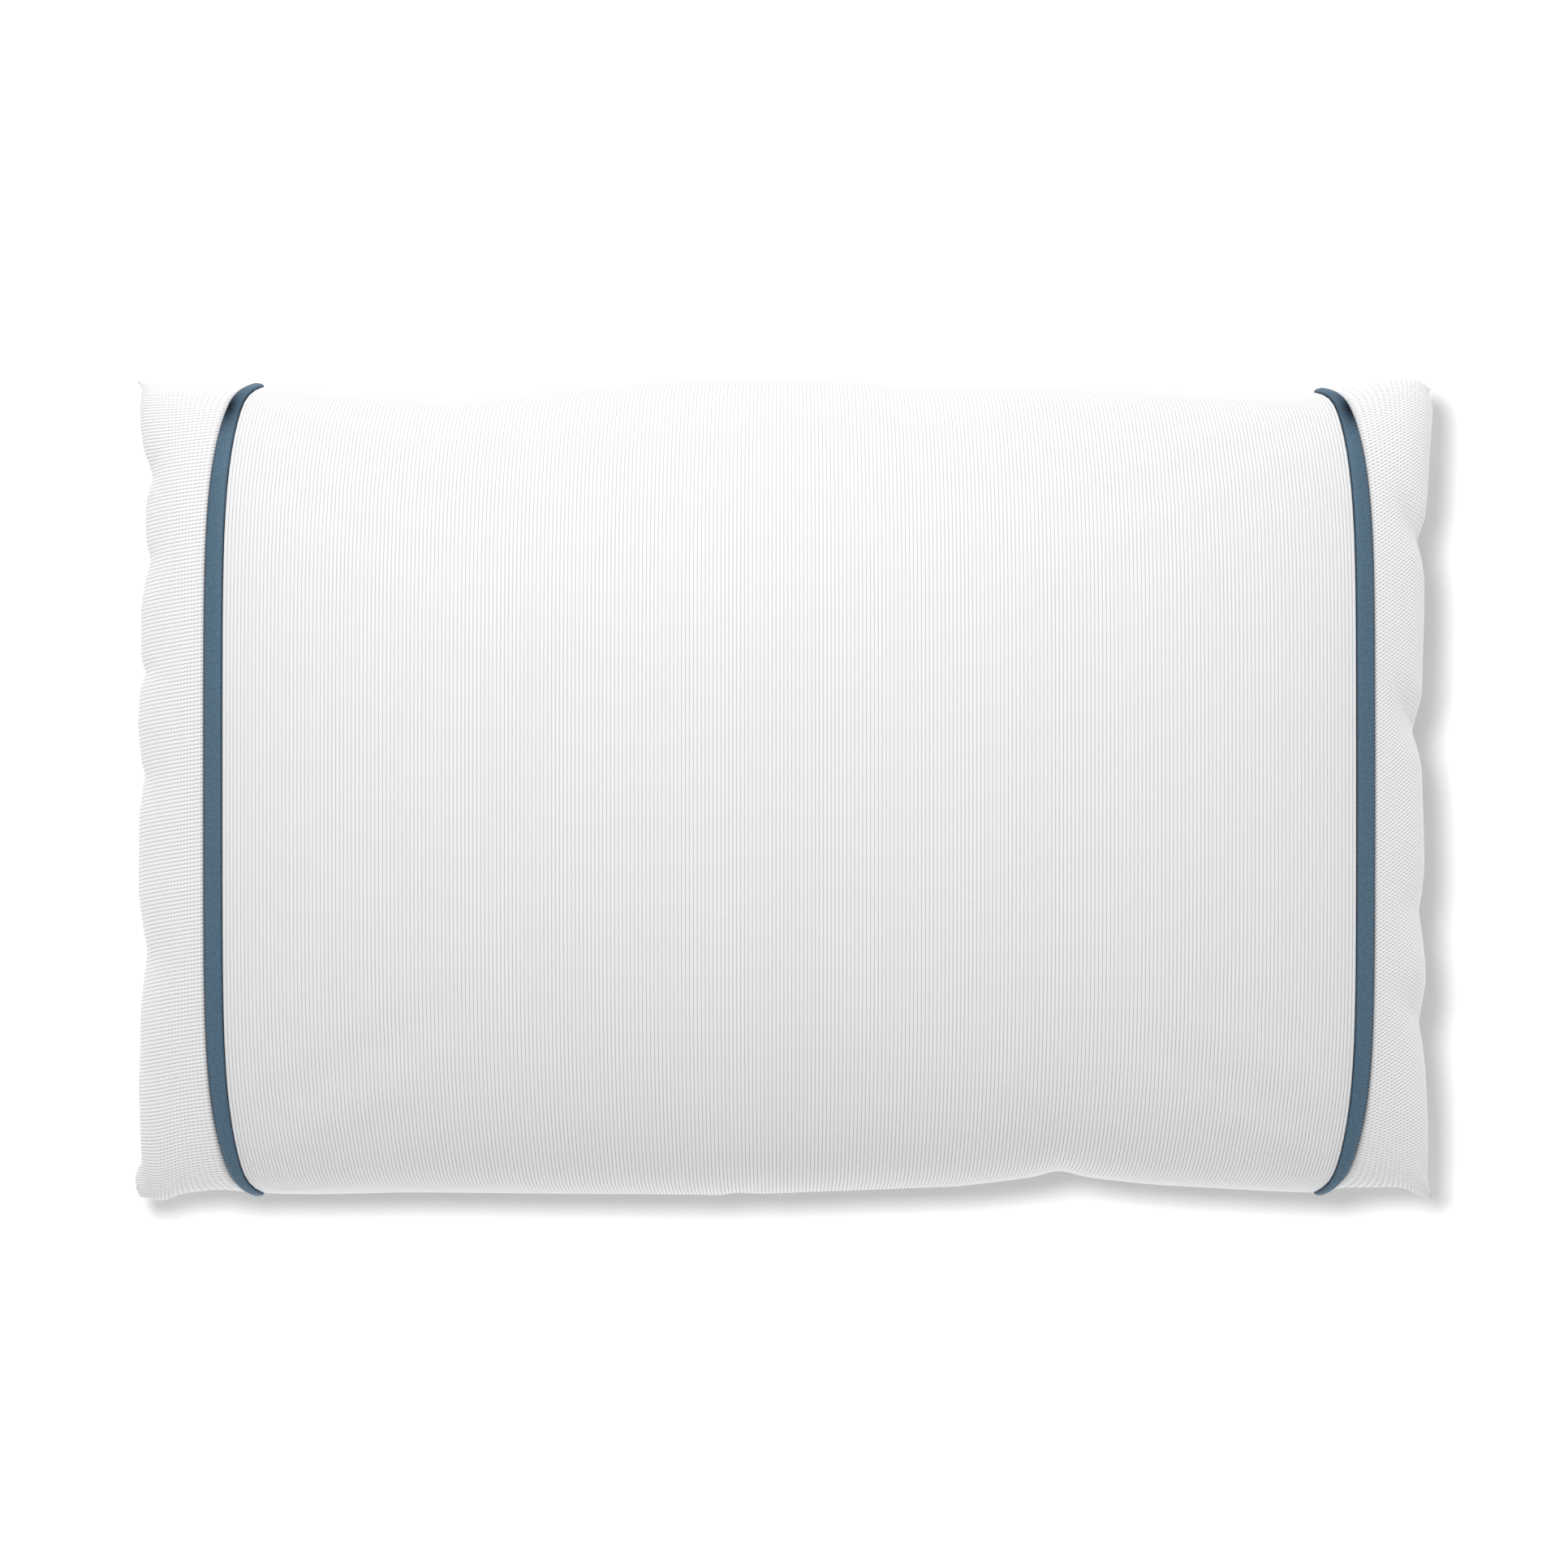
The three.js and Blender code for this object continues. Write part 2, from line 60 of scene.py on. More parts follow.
HALF_WIDTH = CENTRE_HIGH.y
SEAM_Z = (OVERLOCK_LOW.z + OVERLOCK_HIGH.z) / 2
CROWN = CENTRE_HIGH.z - SEAM_Z
BAND_HALF = 5.5 * MM
LEFT_BAND_X = -LEFT_BAND_LOW.x - BAND_HALF
RIGHT_BAND_X = RIGHT_BAND_HIGH.x - BAND_HALF
BAND_GAP = RIGHT_BAND_X - BAND_HALF - CENTRE_HIGH.x
BAND_SLIT = 0.2 * MM
CORNER_REACH = END_HIGH.x - 1.5 * MM
ZIP_X = TAPE_HIGH.x
LINER_REACH = LINER_HIGH.x
LINER_INSET = HALF_WIDTH - LINER_HIGH.y

# ---- The pillow's surface, as the CAD model shapes it ----
BELLY = 75 * MM
LOOP_POWER = 2.25
REACH = 365 * MM
REACH_POWER = 5
DROP_POWER = 2.2
PINCH = 18 * MM
PINCH_SHARE = 0.16
BAND_DRAW = 0.069
DRAW_POWER = 6
HOOK = 0.36
HOOK_POWER = 60
HEM_POWER = 14
CORNER_TUCK = 4 * MM
CORNER_TUCK_LENGTH = 20 * MM
CLOTH = 1.8 * MM
SEAM_LIP = 0.5 * MM
ALLOWANCE_X = 341 * MM
ZIP_LIP = 6.8 * MM
ZIP_MOUTH_END = 200 * MM
ZIP_MOUTH_SLOPE = 12 * MM
HEM_FRONT = ZIP_X + 0.7 * MM
LINER_ROUND = 300 * MM
LINER_CORNER = 322 * MM
LINER_CLOTH = 0.8 * MM
LINER_SPLIT = 1.3 * MM
FILL_INSET = 5 * MM

# ---- Cloth ----
RIB_PITCH = 2.2 * MM
RIB_DEPTH = 0.5 * MM
MESH_PITCH = 2.2 * MM
MESH_DEPTH = 0.12 * MM
# The bands carry a painted shadow, near black, where they turn over the back edge, this far round from it.
UPPER_TURN = 38 * MM
UPPER_TURN_REACH = 14 * MM

# How far each long edge lies inside HALF_WIDTH, as (x, inset) in millimetres along it.
BACK_EDGE = ((-367, -1), (-361, 1.5), (-345, 3), (-290, 3.4), (-236, 5), (-188, 10), (-135, 5), (-60, 0),
             (15, -0.6), (80, 4), (130, 2), (198, 4), (285, 8), (312, 5), (352, 0.3), (367, 6))
FRONT_EDGE = ((-367, 6), (-359, -1), (-351, -4.4), (-341, 0.3), (-319, 2.6), (-282, -0.6), (-213, 1),
              (-120, 0), (-30, -0.6), (98, 4), (140, 9), (155, 13.5), (170, 9), (208, 5), (299, 0.3),
              (313, 3.5), (349, 4), (361, -3), (367, -2))
EDGE_POWER = 6

# How far each end's outline lies inside its smooth curve, as (y, inset) in millimetres along it. The cloth
# is gathered at the end seams, which draws it in at the deeper places and lets it swell between them.
LEFT_OUTLINE = ((-229, -1), (-222, -4.5), (-215, -0.5), (-196, -2), (-170, -3.4), (-148, -2.6),
                (-124, -2.3), (-104, 0), (-92, 1.5), (-80, -0.8), (-59, -3.6), (-15, -3.2), (0, -1.2),
                (6.5, 0.2), (14, -2), (34, -3.9), (56, -2.7), (64, 0.7), (72, -2), (100, -2.3),
                (118, 0.6), (128, 3.4), (137, 1), (150, 0.5), (163, 1.2), (172, 4.6), (178, 4.6),
                (190, 0), (202, -1.6), (215, -1.5), (229, 1))
RIGHT_OUTLINE = ((-229, 0), (-222, -1), (-215, 0), (-199, -1.2), (-182, -1.6), (-155, -0.6), (-139, 1.2),
                 (-128, 3.2), (-117, 1), (-106, -0.9), (-95, -0.6), (-78, 1.4), (-67, 3), (-56, 1),
                 (-41, -0.2), (-18, 0.3), (14, 1.4), (23, 3.2), (32, 6.2), (40, 8.2), (48, 4.1),
                 (56, 1.4), (81, 0.7), (103, 0), (124, 0), (135, 1.9), (143.5, 5), (148, 4.4),
                 (158, -0.4), (174, -1.8), (202, -3), (219, -3.6), (229, 0))
# The way the gathers run, as (y, slant): how far a fold moves along +Y for each unit it comes away from the
# seam. They are sharp up to GATHER_SHARP from it, blurred over as much again, and gone near the band.
LEFT_SLANT = ((-229, -1), (-120, -0.6), (0, 0), (100, 0.2), (229, 0.5))
RIGHT_SLANT = ((-229, 0.8), (-130, 0.5), (-65, 0.2), (0, 0.4), (90, 0.7), (229, 0.8))
GATHER_START = 16 * MM
GATHER_SHARP = 25 * MM
GATHER_FADE = 28 * MM
GATHER_FADE_LENGTH = 38 * MM
SHARP_BLUR = 1.5
SOFT_BLUR = 8
SLANT_BLUR = 20


def signed_power(value, power):
    return np.sign(value) * np.abs(value) ** power


def loop_y(phi):
    return signed_power(np.cos(phi), 2 / LOOP_POWER)


def loop_z(phi):
    return signed_power(np.sin(phi), 2 / LOOP_POWER)


def smooth(value):
    """0 below 0, 1 above 1, and a smooth step between."""
    t = np.clip(value, 0, 1)
    return t * t * (3 - 2 * t)


def lengths_along(points):
    """The length along a line of points to each of them."""
    return np.concatenate([[0], np.cumsum(np.linalg.norm(np.diff(points, axis=0), axis=1))])


def unit(vectors):
    return vectors / np.maximum(np.linalg.norm(vectors, axis=-1, keepdims=True), 1e-12)


def profile_height(x, inset=0.0):
    return (CROWN - inset) * (1 - (np.abs(x) / (REACH - inset)) ** REACH_POWER) ** (1 / DROP_POWER)


def profile_reach(height):
    share = height / CROWN
    pinch = PINCH * np.exp(-((share / PINCH_SHARE) ** 2))
    return REACH * (1 - share**DROP_POWER) ** (1 / REACH_POWER) - pinch


class Outline:
    """A line through (place, value) points, smoothed over blur. All are in millimetres, but for values with
    another scale."""

    def __init__(self, points, blur, scale=MM):
        places, values = np.array(points, float).T
        step = 0.5
        self.places = np.arange(places[0], places[-1] + step, step) * MM
        line = np.interp(self.places, places * MM, values * scale)
        reach = np.arange(-3 * blur, 3 * blur + step, step)
        weights = np.exp(-((reach / blur) ** 2) / 2)
        spare = len(reach) // 2
        padded = np.pad(line, spare, mode="edge")
        self.line = np.convolve(padded, weights / weights.sum(), "same")[spare:-spare]

    def at(self, place):
        return np.interp(place, self.places, self.line)


class Profile:
    """The pillow's lengthwise middle line over one end, from its top centre to the lip of its seam. A place
    on it is its length s from the centre. The band's middle is at band, the mesh's first row at first, and
    the ribbed sleeve's edge at last_rib."""

    def __init__(self, lip, band_x, outline, slant):
        steps = 400
        turn = band_x + BAND_HALF
        xs = np.linspace(0, turn, steps)
        heights = np.linspace(profile_height(turn), lip, steps)[1:]
        self.x = np.concatenate([xs, profile_reach(heights)])
        self.rise = np.concatenate([profile_height(xs), heights])
        self.s = lengths_along(np.stack([self.x, self.rise], -1))
        self.end = self.s[-1]
        self.top = steps
        self.band_x = band_x
        self.band = float(self.place(band_x))
        self.first = self.band + BAND_HALF + BAND_GAP
        self.last_rib = self.band - BAND_HALF - BAND_SLIT
        self.sharp = Outline(outline, SHARP_BLUR)
        self.soft = Outline(outline, SOFT_BLUR)
        self.slant = Outline(slant, SLANT_BLUR, 1)

    def place(self, x):
        """The length s at which the top's middle line reaches x, for an x no further than the band."""
        return np.interp(x, self.x[: self.top], self.s[: self.top])

    def depth(self, s, y):
        """How far the gathers draw the cloth in."""
        below = self.end - s
        fold = y - self.slant.at(y) * (below - GATHER_SHARP)
        blurred = smooth((below - GATHER_SHARP) / GATHER_SHARP)
        depth = self.sharp.at(fold) * (1 - blurred) + self.soft.at(fold) * blurred
        from_seam = smooth(below / GATHER_START)
        to_band = 1 - smooth((below - GATHER_FADE) / GATHER_FADE_LENGTH)
        return depth * from_seam * to_band


LEFT = Profile(SEAM_LIP, LEFT_BAND_X, LEFT_OUTLINE, LEFT_SLANT)
RIGHT = Profile(ZIP_LIP, RIGHT_BAND_X, RIGHT_OUTLINE, RIGHT_SLANT)
BACK = Outline(BACK_EDGE, blur=5)
FRONT = Outline(FRONT_EDGE, blur=4)
FULL_TURN = 2 * math.pi


def loop_table():
    """Angles round the loop and the lengths round it to each, on the pillow's middle cross-section."""
    phi = np.linspace(0, FULL_TURN, 2881)
    depth = np.where(phi < math.pi, CROWN, BELLY)
    return phi, lengths_along(np.stack([HALF_WIDTH * loop_y(phi), depth * loop_z(phi)], -1))


LOOP_ANGLES, LOOP_LENGTHS = loop_table()
LOOP = float(LOOP_LENGTHS[-1])


def phi_at(length):
    """The angle at a length round the loop, which may run past its end."""
    turns = np.floor(length / LOOP)
    return np.interp(length - turns * LOOP, LOOP_LENGTHS, LOOP_ANGLES) + turns * FULL_TURN


def warp(points):
    """Draws the long edges in and out."""
    x, y, z = np.moveaxis(points, -1, 0)
    reach = (np.abs(y) / HALF_WIDTH) ** EDGE_POWER
    inset = np.where(y > 0, BACK.at(x), FRONT.at(x))
    return np.stack([x, y - np.sign(y) * inset * reach, z], -1)


def draw_share(phi):
    """How much of its draw a rib or band has taken: most of it near the long edges, and a last hook right at
    them."""
    return (1 - HOOK) * np.abs(loop_y(phi)) ** DRAW_POWER + HOOK * np.abs(np.cos(phi)) ** HOOK_POWER


def mouth(y):
    """Half the height of the zip's opening: level, and shut beyond its ends."""
    shut = smooth((np.abs(y) - ZIP_MOUTH_END) / ZIP_MOUTH_SLOPE)
    return ZIP_LIP * (1 - shut) + SEAM_LIP * shut


def base_point(s, phi):
    """The cover's smooth face at the signed length s along the top's middle line and the angle phi."""
    size = np.abs(s)
    left = s < 0
    x = np.where(left, np.interp(size, LEFT.s, LEFT.x), np.interp(size, RIGHT.s, RIGHT.x))
    rise = np.where(left, np.interp(size, LEFT.s, LEFT.rise), np.interp(size, RIGHT.s, RIGHT.rise))
    end = np.where(left, LEFT.end, RIGHT.end)
    first = np.where(left, LEFT.first, RIGHT.first)
    step = np.clip((size - first) / (end - first), 0, 1)
    across = loop_y(phi)
    tuck = CORNER_TUCK * smooth(1 - (end - size) / CORNER_TUCK_LENGTH)
    y = HALF_WIDTH * across - np.sign(across) * 0.5 * tuck * np.abs(across) ** HEM_POWER
    drawn = np.minimum(x, np.where(left, LEFT_BAND_X, RIGHT_BAND_X)) * (1 - BAND_DRAW)
    corner = CORNER_REACH - tuck + (drawn - CORNER_REACH) * (1 - step) ** 3
    late = step**6
    draw = draw_share(phi) * (1 - late) + np.abs(across) ** HEM_POWER * late
    out = x + (corner - x) * draw
    up = rise * loop_z(phi)
    level = np.where(left, 0, smooth((3 * ZIP_LIP - rise) / (2 * ZIP_LIP)))
    up = up * (1 - level) + np.sign(up) * np.maximum(mouth(y) + rise - ZIP_LIP, np.abs(up)) * level
    z = SEAM_Z + np.where(up >= 0, up, np.maximum(up * BELLY / CROWN, -SEAM_Z))
    return warp(np.stack([np.where(left, -out, out), y, z], -1))


def outward(point, step, s, phi):
    """The unit normal of the face that the function point gives, from points a step to either side."""
    step_s, step_phi = step
    along = point(s + step_s, phi) - point(s - step_s, phi)
    across = point(s, phi + step_phi) - point(s, phi - step_phi)
    return unit(np.cross(across, along))


BASE_STEP = (0.4 * MM, 0.004)
FACE_STEP = (0.3 * MM, 0.003)

# ---- The cover's own creases, from a cloth simulation on a coarse grid ----
COARSE_S = np.linspace(-LEFT.end, RIGHT.end, 121)
COARSE_PHI = np.linspace(0, FULL_TURN, 144, endpoint=False)
creases = np.zeros((len(COARSE_S), len(COARSE_PHI), 3))


def spline_weights(part):
    """The cubic B-spline's four weights at a part of a cell."""
    left = 3 * part**3 - 6 * part**2 + 4
    right = -3 * part**3 + 3 * part**2 + 3 * part + 1
    return np.stack([(1 - part) ** 3, left, right, part**3]) / 6


def crease_at(s, phi):
    """The creases' move at a place, on a smooth surface through the coarse grid."""
    row = (s - COARSE_S[0]) / (COARSE_S[1] - COARSE_S[0])
    column = phi / (COARSE_PHI[1] - COARSE_PHI[0])
    first_row, first_column = np.floor(row), np.floor(column)
    row_weights = spline_weights(row - first_row)
    column_weights = spline_weights(column - first_column)
    moved = np.zeros(s.shape + (3,))
    for a in range(4):
        i = np.clip(first_row + a - 1, 0, len(COARSE_S) - 1).astype(int)
        for b in range(4):
            j = (first_column + b - 1).astype(int) % len(COARSE_PHI)
            moved += creases[i, j] * (row_weights[a] * column_weights[b])[..., None]
    return moved


def face_point(s, phi):
    """The cover's face with its gathers and creases."""
    point = base_point(s, phi)
    depth = np.where(s < 0, LEFT.depth(np.abs(s), point[..., 1]), RIGHT.depth(np.abs(s), point[..., 1]))
    return point - outward(base_point, BASE_STEP, s, phi) * depth[..., None] + crease_at(s, phi)


def surface(s, phi, lift):
    """A point lifted off the cover's face."""
    s, phi, lift = np.broadcast_arrays(s, phi, lift)
    lifted = face_point(s, phi) + outward(face_point, FACE_STEP, s, phi) * lift[..., None]
    lifted[..., 2] = np.maximum(lifted[..., 2], 0)
    return lifted


# ---- Meshes ----
THREAD_ASIDE = (0.31, 0.17, 0.93)


def mesh_object(name, points, faces, uvs=None):
    """A smooth mesh object. uvs holds one (u, v) for each face corner."""
    mesh = bpy.data.meshes.new(name)
    mesh.from_pydata(np.reshape(points, (-1, 3)).tolist(), [], [list(map(int, face)) for face in faces])
    if uvs is not None:
        mesh.uv_layers.new(name="cloth").data.foreach_set("uv", np.asarray(uvs, np.float32).ravel())
    mesh.polygons.foreach_set("use_smooth", [True] * len(mesh.polygons))
    mesh.update()
    made = bpy.data.objects.new(name, mesh)
    bpy.context.scene.collection.objects.link(made)
    return made


def outward_faces(made):
    """Turns a closed mesh's faces outwards."""
    work = bmesh.new()
    work.from_mesh(made.data)
    if work.calc_volume(signed=True) < 0:
        bmesh.ops.reverse_faces(work, faces=work.faces)
        work.to_mesh(made.data)
    work.free()
    return made


def quads(rows, columns, from_rows, from_columns):
    """The faces of a grid of points, from each of the first from_rows rows to the next one and each of the
    first from_columns columns to the next one. The last row or column is followed by the first."""
    i, j = np.meshgrid(np.arange(from_rows), np.arange(from_columns), indexing="ij")
    i2, j2 = (i + 1) % rows, (j + 1) % columns
    faces = np.stack([i * columns + j, i2 * columns + j, i2 * columns + j2, i * columns + j2], -1)
    return faces.reshape(-1, 4)


def ring_sweep(name, rings, uv):
    """A closed mesh through rings that each close on themselves, and from the last ring to the first. uv
    holds the (u, v) of each ring's points, with one more ring and point than there are, to close it."""
    rows, columns = rings.shape[:2]
    corners = np.stack([uv[:-1, :-1], uv[1:, :-1], uv[1:, 1:], uv[:-1, 1:]], -2)
    made = mesh_object(name, rings, quads(rows, columns, rows, columns), corners.reshape(-1, 2))
    return outward_faces(made)


def cloth_uv(u, v):
    """The (u, v) of each ring's points, closed on to the first ring. v has the first point once more."""
    uv = np.stack(np.broadcast_arrays(np.asarray(u)[:, None], np.asarray(v)[None, :]), -1)
    return np.concatenate([uv, uv[:1]])


def slab(name, outer, inner):
    """A closed mesh between two grids, joined round their rims."""
    rows, columns = outer.shape[:2]
    sheet = quads(rows, columns, rows - 1, columns - 1)
    behind = rows * columns
    number = np.arange(behind).reshape(rows, columns)
    rim = np.concatenate([number[0], number[1:, -1], number[-1, -2::-1], number[-2:0:-1, 0]])
    following = np.roll(rim, -1)
    edge = np.stack([rim, following, following + behind, rim + behind], -1)
    faces = np.concatenate([sheet, sheet[:, ::-1] + behind, edge])
    points = np.concatenate([outer.reshape(-1, 3), inner.reshape(-1, 3)])
    return outward_faces(mesh_object(name, points, faces))


def capped_faces(rows, columns):
    """The faces round a grid whose rows are closed rings, with one over each end."""
    sides = quads(rows, columns, rows - 1, columns).tolist()
    return sides + [list(range(columns))[::-1], list(range((rows - 1) * columns, rows * columns))]


def capped_sweep(name, rings):
    """A closed mesh through rings, with a face over each end."""
    return outward_faces(mesh_object(name, rings, capped_faces(*rings.shape[:2])))


def straight_rings(places, x, z):
    """Rings across Y at places along it, with an x and z for each of their points."""
    return np.stack(np.broadcast_arrays(x, places[:, None], z), -1)


def tube_rings(path, radius, sides=6):
    """Rings of a round thread along a path that never runs along THREAD_ASIDE."""
    tangent = unit(np.gradient(path, axis=0))
    side = unit(np.cross(tangent, THREAD_ASIDE))
    other = np.cross(tangent, side)
    turn = np.linspace(0, FULL_TURN, sides, endpoint=False)
    round_it = side[:, None] * np.cos(turn)[None, :, None] + other[:, None] * np.sin(turn)[None, :, None]
    return path[:, None] + round_it * radius


def joined(name, parts):
    """One object from several."""
    first = parts[0]
    with bpy.context.temp_override(active_object=first, selected_editable_objects=parts):
        bpy.ops.object.join()
    first.name = name
    first.data.name = name
    return first


def stitches(name, places, direction, lean, length, radius):
    """Short thread stitches centred on places. direction runs along the row, and lean is the normal."""
    parts = []
    for place, way, normal in zip(places, direction, lean):
        t = np.linspace(-1, 1, 5)
        sag = (1 - t**2) * radius * 0.9 - radius * 0.5
        path = place + way * (t * length / 2)[:, None] + normal * sag[:, None]
        parts.append(tube_rings(path, radius, 5))
    rows, columns = parts[0].shape[:2]
    one = capped_faces(rows, columns)
    starts = range(0, len(parts) * rows * columns, rows * columns)
    faces = [[start + corner for corner in face] for start in starts for face in one]
    return outward_faces(mesh_object(name, np.stack(parts), faces))


def finish_piece(made, material, slot, *nodes, body="pillow"):
    """Gives a piece its material and body, and hides the nodes it stands for."""
    made.data.materials.clear()
    made.data.materials.append(material)
    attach(made, body)
    if nodes:
        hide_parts(*nodes)
    return made


# ---- Materials ----
class Nodes:
    """A short way to write a procedural material."""

    def __init__(self, name):
        self.material = bpy.data.materials.new(name)
        self.material.use_nodes = True
        self.tree = self.material.node_tree
        self.shader = self.tree.nodes["Principled BSDF"]

    def add(self, kind, **settings):
        node = self.tree.nodes.new(kind)
        for key, value in settings.items():
            setattr(node, key, value)
        return node

    def link(self, value, socket):
        if isinstance(value, bpy.types.NodeSocket):
            self.tree.links.new(value, socket)
        elif value is not None:
            socket.default_value = value

    def math(self, operation, a, b=None, c=None, clamp=False):
        node = self.add("ShaderNodeMath", operation=operation, use_clamp=clamp)
        for value, socket in zip((a, b, c), node.inputs):
            self.link(value, socket)
        return node.outputs[0]

    def wave(self, value, period, phase=0.0):
        """1 on each multiple of the period and 0 halfway between."""
        turn = self.math("MULTIPLY_ADD", value, FULL_TURN / period, phase)
        return self.math("MULTIPLY_ADD", self.math("COSINE", turn), 0.5, 0.5)

    def total(self, base, *terms):
        """A base value and the sum of (value, weight) terms."""
        result = base
        for value, weight in terms:
            result = self.math("MULTIPLY_ADD", value, weight, result)
        return result

    def split(self, vector):
        node = self.add("ShaderNodeSeparateXYZ")
        self.link(vector, node.inputs[0])
        return node.outputs

    def cloth(self):
        """(u, v) on the cloth, in metres."""
        u, v, _ = self.split(self.add("ShaderNodeUVMap", uv_map="cloth").outputs[0])
        return u, v

    def place(self):
        return self.add("ShaderNodeTexCoord").outputs["Object"]

    def noise(self, size, detail=2.0, vector=None, rough=0.5):
        """Noise around 0 whose cells are size metres across."""
        node = self.add("ShaderNodeTexNoise")
        self.link(vector or self.place(), node.inputs["Vector"])
        node.inputs["Scale"].default_value = 1 / size
        node.inputs["Detail"].default_value = detail
        node.inputs["Roughness"].default_value = rough
        return self.math("SUBTRACT", node.outputs["Fac"], 0.5)

    def vector(self, x, y, z=0.0):
        node = self.add("ShaderNodeCombineXYZ")
        for value, socket in zip((x, y, z), node.inputs):
            self.link(value, socket)
        return node.outputs[0]

    def mix(self, factor, first, second):
        """The colour first, or second where factor is 1."""
        node = self.add("ShaderNodeMix", data_type="RGBA", clamp_factor=True)
        self.link(factor, node.inputs["Factor"])
        for value, socket in ((first, node.inputs[6]), (second, node.inputs[7])):
            self.link((*value, 1.0) if isinstance(value, tuple) else value, socket)
        return node.outputs[2]

    def bump(self, height, distance):
        node = self.add("ShaderNodeBump")
        node.inputs["Distance"].default_value = distance
        self.link(height, node.inputs["Height"])
        self.link(node.outputs[0], self.shader.inputs["Normal"])

    def finish(self, base, roughness, **others):
        self.link(base, self.shader.inputs["Base Color"])
        self.link(roughness, self.shader.inputs["Roughness"])
        for key, value in others.items():
            self.link(value, self.shader.inputs[key.replace("_", " ")])
        return self.material


WHITE = (0.86, 0.86, 0.865)
BRIGHT = (0.885, 0.885, 0.89)
# The grey that the knits darken towards: painted shade in their grooves and holes, and some random tone.
SHADE = (0.50, 0.505, 0.52)


def rib_knit_material():
    """Fine ribs with a narrow groove between them, a fainter one along each middle, and small knit loops,
    with painted shade darkening both grooves.
    """
    n = Nodes("rib_knit")
    u, v = n.cloth()
    groove = n.math("POWER", n.wave(u, RIB_PITCH), 6.0)
    middle = n.math("POWER", n.wave(u, RIB_PITCH, math.pi), 12.0)
    wander = n.math("MULTIPLY_ADD", n.wave(u, RIB_PITCH / 2), 0.5 * MM, v)
    loops = n.wave(wander, 1.5 * MM)
    yarn = n.noise(0.5 * MM, 3.0, n.vector(n.math("MULTIPLY", u, 3.0), v))
    uneven = n.noise(9 * MM, 2.0, n.vector(n.math("MULTIPLY", u, 6.0), n.math("MULTIPLY", v, 0.2)))
    patch = n.noise(45 * MM)
    grain = n.total(0.0, (yarn, 0.08), (patch, 0.05), (uneven, 0.06))
    # Painted shade: the colour darkens in each groove and, less, along each rib's middle.
    dark = n.total(grain, (groove, 0.72), (middle, 0.2), (loops, 0.03))
    n.bump(n.total(0.0, (loops, 0.25), (middle, -0.8), (yarn, 0.5)), 0.10 * MM)
    rough = n.total(0.82, (yarn, 0.2), (patch, 0.1))
    return n.finish(n.mix(dark, WHITE, SHADE), rough, Sheen_Weight=0.1, Sheen_Roughness=0.5)


def mesh_knit_material():
    """Rows of small slanted holes between ridges of yarn, with painted shade in the holes and the ditches
    between rows, and darker in the row beside the band.
    """
    n = Nodes("mesh_knit")
    u, v = n.cloth()
    row = n.math("FLOOR", n.math("DIVIDE", v, MESH_PITCH))
    slid = n.total(0.0, (u, 1.0), (v, 0.45), (row, MESH_PITCH * 0.55))
    along = n.math("POWER", n.wave(slid, MESH_PITCH), 2.0)
    ditch = n.math("POWER", n.wave(v, MESH_PITCH), 3.5)
    hole = n.math("MULTIPLY", along, ditch)
    beside = n.math("SUBTRACT", 1.0, n.math("DIVIDE", u, 1.6 * MM), clamp=True)
    seam = n.math("MULTIPLY", beside, n.wave(n.total(0.0, (v, 1.0), (u, 0.8)), MESH_PITCH))
    yarn = n.noise(0.45 * MM, 3.0, n.vector(u, v))
    patch = n.noise(30 * MM)
    # Painted shade: the colour darkens in the holes and a little in the ditches between rows.
    dark = n.total(0.0, (hole, 1.5), (ditch, 0.06), (seam, 0.6), (yarn, 0.08), (patch, 0.05))
    n.bump(n.total(0.0, (yarn, 0.3), (hole, -1.5), (seam, -1.0)), 0.28 * MM)
    rough = n.total(0.88, (yarn, 0.2), (patch, 0.1))
    return n.finish(n.mix(dark, BRIGHT, SHADE), rough, Sheen_Weight=0.1, Sheen_Roughness=0.5)


def band_material():
    """Brushed steel-blue cloth, speckled, with painted shade where it turns under along both sides, and a
    painted shadow where it turns over the back edge.
    """
    n = Nodes("band_cloth")
    u, v = n.cloth()
    flat = n.vector(u, v)
    fleck = n.noise(0.8 * MM, 3.0, flat, 0.65)
    patch = n.noise(2.4 * MM, 2.0, flat)
    speckle = n.total(0.5, (fleck, 3.6), (patch, 0.8))
    blue = n.mix(speckle, (0.035, 0.083, 0.13), (0.078, 0.155, 0.226))
    across = n.math("DIVIDE", u, BAND_HALF)
    # Painted shade along the band's edges where it turns under, strongest on the outer edge.
    outer_edge_shade = n.math("POWER", n.math("MAXIMUM", across, 0.0), 5.0)
    inner_edge_shade = n.math("POWER", n.math("MAXIMUM", n.math("MULTIPLY", across, -1.0), 0.0), 20.0)
    # A painted shadow, near black and without gloss or sheen, where the band turns over the back edge.
    from_turn = n.math("DIVIDE", n.math("SUBTRACT", v, UPPER_TURN), UPPER_TURN_REACH)
    turned = n.math("EXPONENT", n.math("MULTIPLY", n.math("MULTIPLY", from_turn, from_turn), -1.0))
    turn_shadow = n.math("MULTIPLY", turned, n.math("MULTIPLY_ADD", across, 0.7, 0.95, clamp=True))
    shade = n.math("MINIMUM", n.total(0.0, (outer_edge_shade, 1.0), (inner_edge_shade, 0.6), (turn_shadow, 1.0)), 1.0)
    n.bump(n.total(0.0, (fleck, 1.0), (patch, 0.6)), 0.12 * MM)
    rough = n.total(0.62, (fleck, 0.3))
    # The painted shade and shadow darken the blue towards near black and dim its gloss and sheen.
    base = n.mix(shade, blue, (0.006, 0.012, 0.024))
    gloss = n.total(0.5, (shade, -0.45))
    sheen = n.total(0.12, (shade, -0.12))
    return n.finish(base, rough, Specular_IOR_Level=gloss, Sheen_Weight=sheen, Sheen_Roughness=0.4)


